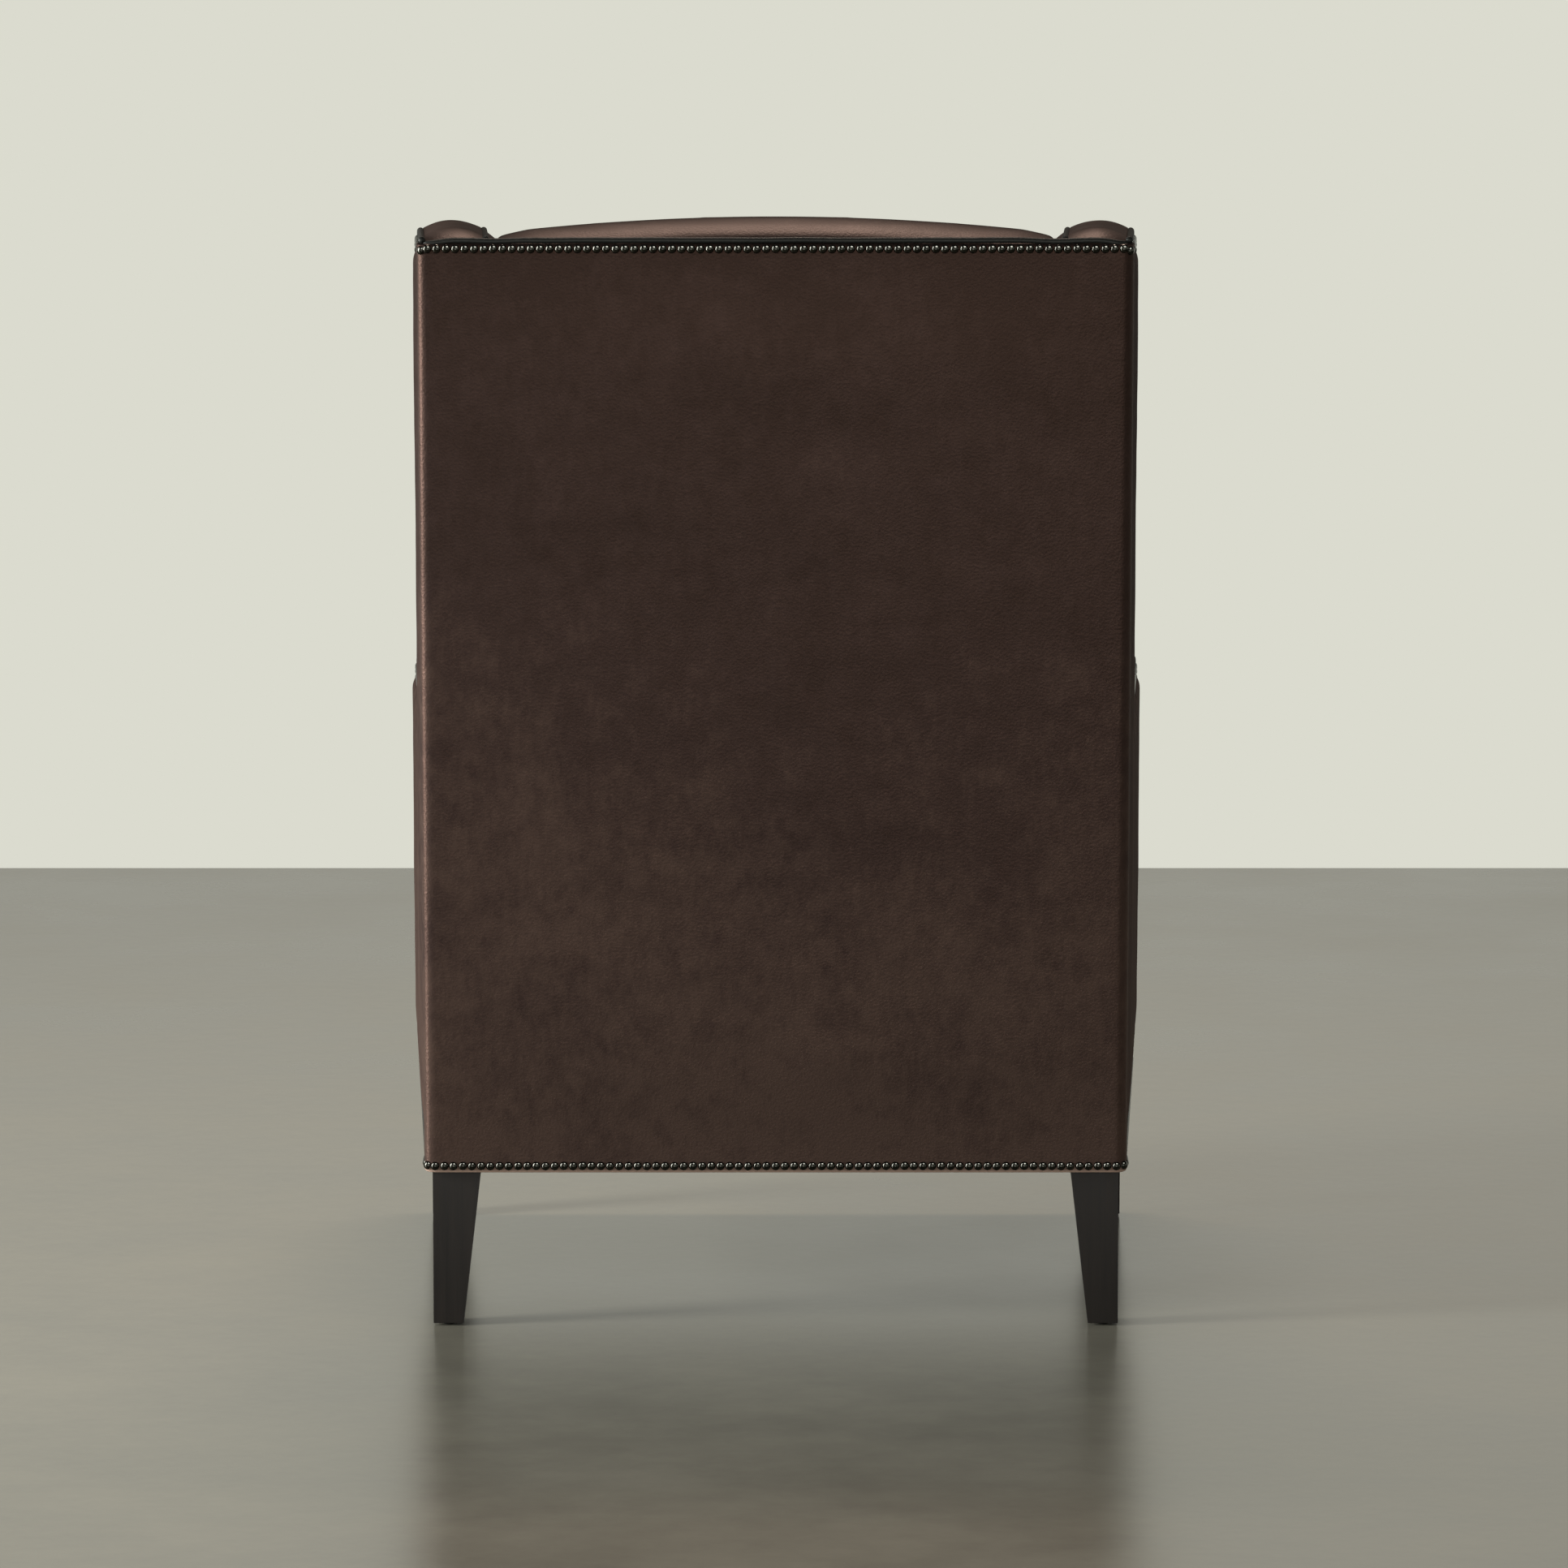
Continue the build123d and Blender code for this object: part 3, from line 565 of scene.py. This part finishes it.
def makeBoxings():
    half, deep = boxing["half"], boxing["depth"]
    for side, hand in ((1, "left"), (-1, "right")):
        outward, rearward, upward = sideAxes(side)
        rings = []
        line = edgeLine(0.0, boxing["rear"], boxing["spacing"])
        start = line[0][0]
        for place, way in line:
            normal = rearward * way.y - upward * way.x
            short = max(0.0, 1 - (place - start).length / boxing["roll"])
            dip = boxing["drop"] * short * short  # rolled down at the rear to meet the back
            centre = sidePoint(side, place.x, place.y, 0.0)
            ring = []
            for step in range(boxing["across"] + 1):
                share = 2 * step / boxing["across"] - 1
                rise = boxing["lift"] + (boxing["crown"] - boxing["lift"]) * (1 - share * share)
                rise += 0.0008 * ripple(centre + outward * share * half, 0.04, 4.0) * (1 - share * share)
                ring.append(centre + outward * share * half + normal * (rise - dip))
            ring.append(centre + outward * half - normal * deep)
            ring.append(centre - outward * half - normal * deep)
            rings.append(ring)
        piece = sweptPiece(f"sideBoxing_{hand}", rings)
        dress(piece, "chair", leather, [f"side_boxing_{hand}"], 50)


makeBoxings()
print("boxings made")


# outside panels: hide drawn over a thin pad, flush with the wrapped back corner and full in the middle
sidePanel = {"face": 0.0355, "flush": 0.0016, "swell": 0.0042, "sink": 0.0026, "draw": 0.028, "voxel": 0.0045}
outlineDots, outlineWays = zip(*edgeLine(0.0, 0.0, 0.004))
outlineTree = kdtree.KDTree(len(outlineDots))
for spot, dot in enumerate(outlineDots):
    outlineTree.insert((dot.x, dot.y, 0.0), spot)
outlineTree.balance()


def panelSwell(along, height):
    # full in the middle, flush at the wrapped corner, and drawn in where the nails hold it
    edge = outlineTree.find((along, height, 0.0))[2]
    rear = backAlong(height, 0.0) - along
    held = smooth(0.010, sidePanel["draw"], edge) * smooth(0.011, 0.075, height - chairLines["foot"])
    wave = 0.0007 * ripple((along, height, 0.2), 0.12, 6.0) + 0.0003 * ripple((along, height, 0.2), 0.04, 2.0)
    sink = sidePanel["sink"] * (1 - 0.35 * smooth(1.06, 1.09, height))
    middle = (sidePanel["swell"] + wave + sink) * held - sink
    nearCorner = 1 - smooth(0.010, 0.075, rear)
    return sidePanel["flush"] * nearCorner * smooth(0.004, 0.02, edge) + middle * (1 - nearCorner)


def makeOutsidePanels():
    for side, hand in ((1, "left"), (-1, "right")):
        outward = sideAxes(side)[0]
        piece = softCopy(f"outsidePanel_{hand}", f"outside_panel_{hand}", sidePanel["voxel"])
        for vertex in piece.data.vertices:
            along, height, out = sideCoordinates(side, vertex.co)
            vertex.co += outward * panelSwell(along, height) * smooth(0.029, 0.0345, out)
        finishSoft(piece, 2)
        dress(piece, "chair", leather, [f"outside_panel_{hand}"])


makeOutsidePanels()
print("outside panels made")


# nails: one domed head, modelled once and driven in rows that touch
nail = {"radius": 0.0045, "height": 0.0034, "pitch": 0.0093, "inset": 0.0082, "rise": 0.0077, "across": 75,
        "front": 67, "frontSet": -0.716, "rearGap": 0.0144, "edgeGap": 0.0165, "loose": 0.00018, "tilt": 0.05,
        "deep": 0.0018, "cornerTurn": 1.2, "cornerDepth": 0.0026, "cornerTop": (0.0046, 0.0020),
        "cornerBase": (0.0034, 0.0)}
dice = random.Random(11)


def makeNailHead():
    bpy.ops.object.select_all(action="DESELECT")
    bpy.ops.mesh.primitive_uv_sphere_add(segments=12, ring_count=8, radius=nail["radius"])
    head = bpy.context.object
    bpy.ops.object.mode_set(mode="EDIT")
    bpy.ops.mesh.select_all(action="SELECT")
    bpy.ops.mesh.bisect(plane_co=(0, 0, 0), plane_no=(0, 0, 1), clear_inner=True, use_fill=True)
    bpy.ops.mesh.select_all(action="SELECT")
    bpy.ops.transform.resize(value=(1, 1, nail["height"] / nail["radius"]))
    bpy.ops.object.mode_set(mode="OBJECT")
    return head


nailHead = makeNailHead()
nailHeads = bpy.data.collections.new("nail heads")  # two of the studio's lights shine on these alone


def makeNailRow(name, places, node):
    row = bmesh.new()
    for point, facing in places:
        lean = Vector((dice.uniform(-1, 1), dice.uniform(-1, 1), dice.uniform(-1, 1)))
        drift = lean - facing * lean.dot(facing)
        turned = (facing + drift * nail["tilt"]).to_track_quat("Z", "Y").to_matrix().to_4x4()
        one = nailHead.data.copy()
        one.transform(Matrix.Translation(point + drift * nail["loose"]) @ turned)
        row.from_mesh(one)
        bpy.data.meshes.remove(one)
    mesh = bpy.data.meshes.new(name)
    row.to_mesh(mesh)
    row.free()
    piece = bpy.data.objects.new(name, mesh)
    scene.collection.objects.link(piece)
    nailHeads.objects.link(piece)
    dress(piece, "chair", nailSteel, [node], 40)


def nailSeat(along, height):  # driven deeper beside the wrapped corner
    rear = backAlong(height, 0.0) - along
    return sidePanel["face"] + panelSwell(along, height) - nail["deep"] * (1 - smooth(0.015, 0.06, rear))


def makeNails():
    pitch, count = nail["pitch"], nail["across"]
    half = outsideBack["half"]
    for name, node, rise, (inset, drop) in (
            ("nailsBackTop", "nails_back_top", backWelt["rise"] - nail["rise"], nail["cornerTop"]),
            ("nailsBackBase", "nails_back_base", nail["rise"], nail["cornerBase"])):
        places = [(backPoint((k - (count - 1) / 2) * pitch, rise, 0.0), backOut) for k in range(count)]
        for side in (1, -1):  # one turned nail on each wrapped corner
            turned = (Vector((side * nail["cornerTurn"], 0, 0)) + backOut).normalized()
            places.append((backPoint(side * (half - inset), rise - drop, nail["cornerDepth"]), turned))
        makeNailRow(name, places, node)
    for side, hand in ((1, "left"), (-1, "right")):
        outward = sideAxes(side)[0]
        low = chairLines["legHeight"] + nail["rise"]
        first = chairLines["armFront"] + nail["inset"]
        steps = floor((-nail["rearGap"] - first) / pitch) + 1
        places = [(first + k * pitch, low) for k in range(steps)]
        base = [(sidePoint(side, a, h, nailSeat(a, h)), outward) for a, h in places]
        makeNailRow(f"nailsSideBase_{hand}", base, f"nails_side_base_{hand}")
        corners, radii = edgeCorners(nail["inset"], nail["edgeGap"])
        corners[-1] = (corners[-1][0], chairLines["foot"] + nail["rise"] + pitch)
        edge = [(sidePoint(side, p.x, p.y, nailSeat(p.x, p.y)), outward)
                for p, way in evenLine(corners, radii, pitch)]
        makeNailRow(f"nailsSideEdge_{hand}", edge, f"nails_side_edge_{hand}")
    border = Vector((0, chairLines["rearY"] + nail["frontSet"], chairLines["legHeight"] + nail["rise"]))
    middle = (nail["front"] - 1) / 2
    front = [(border + Vector(((k - middle) * pitch, 0, 0)), Vector((0, -1, 0)))
             for k in range(nail["front"])]
    makeNailRow("nailsFrontBase", front, "nails_front_base")
    bpy.data.objects.remove(nailHead)


makeNails()
print("nails driven")


# inside padding of wings and arms: foam under hide, held along the boxing and at the seam between them
insidePad = {"voxel": 0.006, "pressure": 4.0, "cap": 0.010, "reach": 0.0068, "shoulder": 0.0072}


def fillShoulder(piece, side):
    # the pad's edge is drawn out to the piping and a little inward, so no gap shows beside it
    outward, rearward, upward = sideAxes(side)
    for vertex in piece.data.vertices:
        along, height, out = sideCoordinates(side, vertex.co)
        spot, edge = outlineTree.find((along, height, 0.0))[1:]
        way = outlineWays[spot]
        near = (1 - smooth(0.004, 0.045, edge)) * smooth(-0.027, -0.031, out)
        vertex.co += (rearward * way.y - upward * way.x) * insidePad["reach"] * near
        vertex.co -= outward * insidePad["shoulder"] * near * smooth(-0.036, -0.042, out)


def makeInsidePads():
    for side, hand in ((1, "left"), (-1, "right")):
        for part in ("wing", "arm"):
            def freedom(point):
                along, height, out = sideCoordinates(side, point)
                edge = outlineTree.find((along, height, 0.0))[2]
                return smooth(-0.028, -0.041, out) * (0.25 + 0.75 * smooth(0.0, 0.05, edge))
            piece = softCopy(f"inside{part.title()}_{hand}", f"inside_{part}_{hand}", insidePad["voxel"])
            fillShoulder(piece, side)
            stuff(piece, insidePad["pressure"], insidePad["cap"], freedom)
            finishSoft(piece, 3)
            dress(piece, "chair", leather, [f"inside_{part}_{hand}"])


makeInsidePads()
print("inside pads made")


# inside back: a tall crowned pad that rolls over the top to the piping
insideBack = {"voxel": 0.006, "pressure": 4.0, "cap": 0.016, "end": 0.2795, "slope": 0.003}


def makeInsideBack():
    def freedom(point):
        depth = -(point - backFoot).dot(backOut)
        rise = (point - backFoot).dot(backUp)
        return smooth(0.05, 0.10, depth) * (1 - 0.85 * smooth(0.90, 0.955, rise)) * smooth(0.19, 0.27, rise)
    piece = softCopy("insideBack", "inside_back", insideBack["voxel"])
    stuff(piece, insideBack["pressure"], insideBack["cap"], freedom)
    for vertex in piece.data.vertices:
        rise = (vertex.co - backFoot).dot(backUp)
        end = 1 - smooth(0.0, 0.04, insideBack["end"] - abs(vertex.co.x))
        vertex.co -= backUp * insideBack["slope"] * end * smooth(0.86, 0.94, rise)
    finishSoft(piece, 3)
    dress(piece, "chair", leather, ["inside_back"])


makeInsideBack()
print("inside back made")


# seat: a deck over webbing, a leather border below it, and the loose boxed cushion on top
seat = {"voxel": 0.006, "pressure": 4.0, "cap": 0.022, "low": 0.319, "high": 0.443,
        "rear": -0.125, "front": -0.715, "rearHalf": 0.2765, "frontHalf": 0.303, "draw": 0.005,
        "corner": 0.024, "fullCorner": 0.94, "spacing": 0.006}


def cushionEdge():
    # the cushion's plan: four sides drawn in between rounded corners
    rear, front = chairLines["rearY"] + seat["rear"], chairLines["rearY"] + seat["front"]
    rearHalf, frontHalf, draw = seat["rearHalf"], seat["frontHalf"], seat["draw"]
    ends = [Vector((rearHalf, rear)), Vector((-rearHalf, rear)), Vector((-frontHalf, front)),
            Vector((frontHalf, front))]
    dots = []
    for spot in range(4):
        a, b = ends[spot], ends[(spot + 1) % 4]
        way = (b - a).normalized()
        inward = Vector((-way.y, way.x))
        if inward.dot(-(a + b) / 2 + Vector((0, (rear + front) / 2))) < 0:
            inward = -inward
        length = (b - a).length
        reach = seat["corner"]
        count = max(2, round((length - 2 * reach) / seat["spacing"]))
        for step in range(count + 1):
            run = reach + (length - 2 * reach) * step / count
            share = run / length
            dots.append(a + way * run + inward * draw * 4 * share * (1 - share))
        after = (ends[(spot + 2) % 4] - b).normalized()
        start = dots[-1]
        nextIn = b + after * reach
        bend = b * seat["fullCorner"] + (start + nextIn) / 2 * (1 - seat["fullCorner"])
        for step in range(1, 6):
            share = step / 6
            dots.append(start * (1 - share) ** 2 + bend * 2 * share * (1 - share) + nextIn * share ** 2)
    return dots


def makeCushion():
    plan = cushionEdge()
    for name, node, height in (("cushionWeltLower", "cushion_welt_lower", seat["low"]),
                               ("cushionWeltUpper", "cushion_welt_upper", seat["high"])):
        line = []
        for spot in range(len(plan) + 1):
            place = plan[spot % len(plan)]
            way = (plan[(spot + 1) % len(plan)] - plan[(spot - 1) % len(plan)]).normalized()
            line.append((Vector((place.x, place.y, height)), Vector((way.y, -way.x, 0)), Vector((0, 0, 1))))
        piece = sweptPiece(name, pipingRings(line, piping["radius"], height), True)
        dress(piece, "cushion", weltLeather, [node])

    def freedom(point):
        seam = min(abs(point.z - seat["low"]), abs(point.z - seat["high"]))
        return smooth(0.004, 0.05, seam) * (1 - 0.85 * smooth(0.33, 0.318, point.z))
    piece = softCopy("seatCushion", "seat_cushion", seat["voxel"])
    stuff(piece, seat["pressure"], seat["cap"], freedom)
    finishSoft(piece, 3)
    dress(piece, "cushion", leather, ["seat_cushion"])


# the border is stretched a little, so that its ends reach behind the piping
underSeat = {"seat_deck": {"name": "seatDeck", "voxel": 0.009, "stretch": 1.0},
             "front_border": {"name": "frontBorder", "voxel": 0.004, "stretch": 1.006}}


def makeDeckAndBorder():
    for node, cover in underSeat.items():
        piece = softCopy(cover["name"], node, cover["voxel"])
        for vertex in piece.data.vertices:
            vertex.co.x *= cover["stretch"]
        finishSoft(piece, 2)
        dress(piece, "chair", leather, [node])


makeCushion()
makeDeckAndBorder()
print("seat made")


# legs: square blanks tapered on the two inner faces, with eased edges
leg = {"top": 0.048, "foot": 0.0304, "easing": 0.0018, "footEasing": 0.0005, "rearOuter": 0.3466,
       "frontOuter": 0.3705, "rearSet": -0.009, "frontSet": -0.697}
glide = {"height": 0.0026, "radius": 0.0065, "round": 0.0018}
legPlaces = (("rear_left", 1, "rearOuter", "rearSet", -1), ("rear_right", -1, "rearOuter", "rearSet", -1),
             ("front_left", 1, "frontOuter", "frontSet", 1), ("front_right", -1, "frontOuter", "frontSet", 1))


def makeLegs():
    for name, side, outerKey, setKey, inward in legPlaces:
        outer, setback = leg[outerKey], leg[setKey]
        low, high = glide["height"], chairLines["legHeight"]
        bpy.ops.object.select_all(action="DESELECT")
        bpy.ops.mesh.primitive_cube_add(size=1.0)
        piece = bpy.context.object
        piece.name = piece.data.name = "leg_" + name.replace("_", "-")
        for vertex in piece.data.vertices:
            size = leg["top"] if vertex.co.z > 0 else leg["foot"]
            x = outer if vertex.co.x * side > 0 else outer - size
            y = 0.0 if vertex.co.y * -inward > 0 else size
            z = high if vertex.co.z > 0 else low
            vertex.co = (side * x, chairLines["rearY"] + setback + inward * y, z)
        bpy.ops.object.mode_set(mode="EDIT")
        shape = bmesh.from_edit_mesh(piece.data)
        for easing, upright in ((leg["easing"], True), (leg["footEasing"], False)):
            bpy.ops.mesh.select_all(action="DESELECT")
            for edge in shape.edges:
                a, b = (v.co for v in edge.verts)
                edge.select_set((abs(a.z - b.z) > 0.1) if upright else max(a.z, b.z) < low + 0.0001)
            bmesh.update_edit_mesh(piece.data)
            bpy.ops.mesh.bevel(offset=easing, segments=3, affect="EDGES")
            shape = bmesh.from_edit_mesh(piece.data)
        bpy.ops.mesh.select_all(action="SELECT")
        bpy.ops.mesh.normals_make_consistent(inside=False)
        bpy.ops.object.mode_set(mode="OBJECT")
        dress(piece, "chair", ebonyWood, [f"leg_{name}"], 35)


def makeGlides():
    parts = []
    for name, side, outerKey, setKey, inward in legPlaces:
        foot = Vector((side * (leg[outerKey] - leg["foot"] / 2),
                       chairLines["rearY"] + leg[setKey] + inward * leg["foot"] / 2, glide["height"] / 2))
        bpy.ops.object.select_all(action="DESELECT")
        bpy.ops.mesh.primitive_cylinder_add(vertices=32, radius=glide["radius"], depth=glide["height"],
                                            location=foot)
        piece = bpy.context.object
        bpy.ops.object.transform_apply(location=True)
        bpy.ops.object.mode_set(mode="EDIT")
        bpy.ops.mesh.select_all(action="DESELECT")
        rim = bmesh.from_edit_mesh(piece.data)
        for edge in rim.edges:
            edge.select = all(v.co.z < 0.0001 for v in edge.verts)
        bmesh.update_edit_mesh(piece.data)
        bpy.ops.mesh.bevel(offset=glide["round"], segments=4, affect="EDGES")
        bpy.ops.object.mode_set(mode="OBJECT")
        parts.append(piece)
    bpy.ops.object.select_all(action="DESELECT")
    for piece in parts:
        piece.select_set(True)
    bpy.context.view_layer.objects.active = parts[0]
    bpy.ops.object.join()
    parts[0].name = parts[0].data.name = "glidesNylon"
    dress(parts[0], "chair", glideNylon, ["glides"], 40)


makeLegs()
makeGlides()
print("legs made")


# dust cover: thin black cloth stapled under the frame, sagging a little between its edges
dustCover = {"rearHalf": 0.344, "frontHalf": 0.372, "front": -0.3998, "rear": 0.293, "level": 0.1597,
             "sag": 0.0012, "thick": 0.0004}


def makeDustCover():
    piece = newGrid("dustCover", 60, 60)
    for vertex in piece.data.vertices:
        across, back = vertex.co.x * 2, vertex.co.y + 0.5
        half = dustCover["frontHalf"] + (dustCover["rearHalf"] - dustCover["frontHalf"]) * back
        y = dustCover["front"] + (dustCover["rear"] - dustCover["front"]) * back
        belly = (1 - across ** 2) * 4 * back * (1 - back)
        pucker = 0.0002 * ripple((across, back, 0.4), 0.07, 5.0)
        vertex.co = (across * half, y, dustCover["level"] - dustCover["sag"] * belly + pucker * belly)
    applied(piece, "SOLIDIFY", {"thickness": dustCover["thick"], "offset": 0.0})
    dress(piece, "chair", dustWeave, ["dust_cover"])


makeDustCover()
print("dust cover made")


# the frame inside the upholstery stays as the solids have it
innerFinishes = {
    "back_post": beechUpright, "wing_post": beechUpright, "arm_post": beechUpright,
    "wing_rail": beechLengthwise, "arm_rail": beechLengthwise, "side_rail": beechLengthwise,
    "rear_rail": beechAcross, "tie_rail": beechAcross, "crest_rail": beechAcross, "front_rail": beechAcross,
    "corner_blocks": beechAcross, "seat_webbing": webbingWeave, "back_webbing": webbingWeave,
    "leg_bolts": zincSteel,
}
for node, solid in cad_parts.items():
    finish = innerFinishes.get(node.removesuffix("_left").removesuffix("_right"))
    if finish:
        for spot in solid.material_slots:
            spot.material = finish
print("inner frame finished")


# studio: a pale floor before pale walls, a tall soft light at the camera's left, a small warm one above the
# crown, a low one on the camera's side, and two that give the nail heads their highlights
studio = {"floor": ("#777568", "#949181"), "cast": 0.385, "width": 24.0, "depth": 20.0, "edge": -3.17,
          "wall": "#dbdbcf", "fill": 0.22, "ceiling": 0.1}
studioLights = {
    "keyLight": {"at": (3.6, 1.2, 1.0), "aim": (0.0, 0.3, 0.7), "size": (0.9, 1.9), "power": 180.0},
    "crownLight": {"at": (0.0, -1.25, 3.4), "aim": (0.0, 0.35, 1.1), "size": (1.2, 0.4), "power": 37.0,
                   "tint": "#ffe7d7"},
    "nailLightAbove": {"at": (-1.2, 2.4, 3.7), "aim": (0.0, 0.35, 0.8), "size": (2.6, 2.2), "power": 230.0},
    "nailLightLeft": {"at": (3.2, 1.1, 2.6), "aim": (0.0, 0.35, 0.9), "size": (2.2, 2.2), "power": 230.0},
    "lowLight": {"at": (-0.5, 6.0, 0.5), "aim": (0.0, 0.3, 0.5), "size": (3.2, 0.7), "power": 32.0},
}


def makeFloor():
    ground = newGrid("floor", 4, 4)
    for vertex in ground.data.vertices:
        y = studio["edge"] + (vertex.co.y + 0.5) * studio["depth"]
        vertex.co = (vertex.co.x * studio["width"], y, 0.0)
    finish, tree, shader, place = newFinish("pale concrete", {"Specular IOR Level": 0.5})
    cast = addNode(tree, "ShaderNodeTexNoise",
                   {"Scale": 1 / studio["cast"], "Detail": 7.0, "Roughness": 0.66}, {"Vector": place})
    tone = addNode(tree, "ShaderNodeValToRGB", links={"Fac": cast.outputs[0]},
                   stops=[(0.3, studio["floor"][0]), (0.7, studio["floor"][1])])
    tree.links.new(tone.outputs["Color"], shader.inputs["Base Color"])
    rub = addNode(tree, "ShaderNodeMapRange", {"To Min": 0.17, "To Max": 0.3}, {"Value": cast.outputs[0]})
    tree.links.new(rub.outputs[0], shader.inputs["Roughness"])
    ground.data.materials.append(finish)


def makeWalls():
    world = bpy.data.worlds.new("studio")
    scene.world = world
    world.use_nodes = True
    tree = world.node_tree
    tree.nodes.clear()
    rays = addNode(tree, "ShaderNodeLightPath")
    light = addNode(tree, "ShaderNodeBackground",
                    {"Color": (1.0, 1.0, 0.98, 1.0), "Strength": studio["fill"]})
    way = addNode(tree, "ShaderNodeTexCoord").outputs["Generated"]
    rise = addNode(tree, "ShaderNodeSeparateXYZ", links={0: way})
    # pale walls all round under a dim ceiling
    dim = addNode(tree, "ShaderNodeMapRange",
                  {"From Min": 0.22, "From Max": 0.42, "To Min": 1.0, "To Max": studio["ceiling"]},
                  {"Value": rise.outputs["Z"]})
    seen = addNode(tree, "ShaderNodeBackground", {"Color": linear(studio["wall"])},
                   {"Strength": dim.outputs[0]})
    mirrored = addNode(tree, "ShaderNodeMath", {"operation": "MAXIMUM"},
                       {0: rays.outputs["Is Glossy Ray"], 1: rays.outputs["Is Transmission Ray"]})
    shown = addNode(tree, "ShaderNodeMath", {"operation": "MAXIMUM"},
                    {0: rays.outputs["Is Camera Ray"], 1: mirrored.outputs[0]})
    both = addNode(tree, "ShaderNodeMixShader",
                   links={0: shown.outputs[0], 1: light.outputs[0], 2: seen.outputs[0]})
    addNode(tree, "ShaderNodeOutputWorld", links={"Surface": both.outputs[0]})


def makeLights():
    for name, light in studioLights.items():
        lamp = bpy.data.lights.new(name, "AREA")
        lamp.shape, lamp.energy = "RECTANGLE", light["power"]
        lamp.size, lamp.size_y = light["size"]
        lamp.color = linear(light.get("tint", "#ffffff"))[:3]
        stand = bpy.data.objects.new(name, lamp)
        stand.location = light["at"]
        stand.rotation_euler = (Vector(light["aim"]) - stand.location).to_track_quat("-Z", "Y").to_euler()
        scene.collection.objects.link(stand)
        if name.startswith("nail"):
            stand.light_linking.receiver_collection = nailHeads


makeFloor()
makeWalls()
makeLights()


# the photograph's view: straight on to the back through a long lens, tipped down a little
photoView = {"lens": 226.4, "pitch": 7.2, "distance": 9.845, "height": 1.797, "across": -0.0084}


def makeCamera():
    camera = bpy.data.objects.new("camera", bpy.data.cameras.new("camera"))
    camera.data.lens, camera.data.sensor_width = photoView["lens"], 36.0
    camera.data.clip_end = 100.0
    camera.location = (photoView["across"], chairLines["rearY"] + leg["rearSet"] + photoView["distance"],
                       photoView["height"])
    camera.rotation_euler = (radians(90 - photoView["pitch"]), 0, radians(180))
    scene.collection.objects.link(camera)
    scene.camera = camera


makeCamera()
print("studio and camera set")
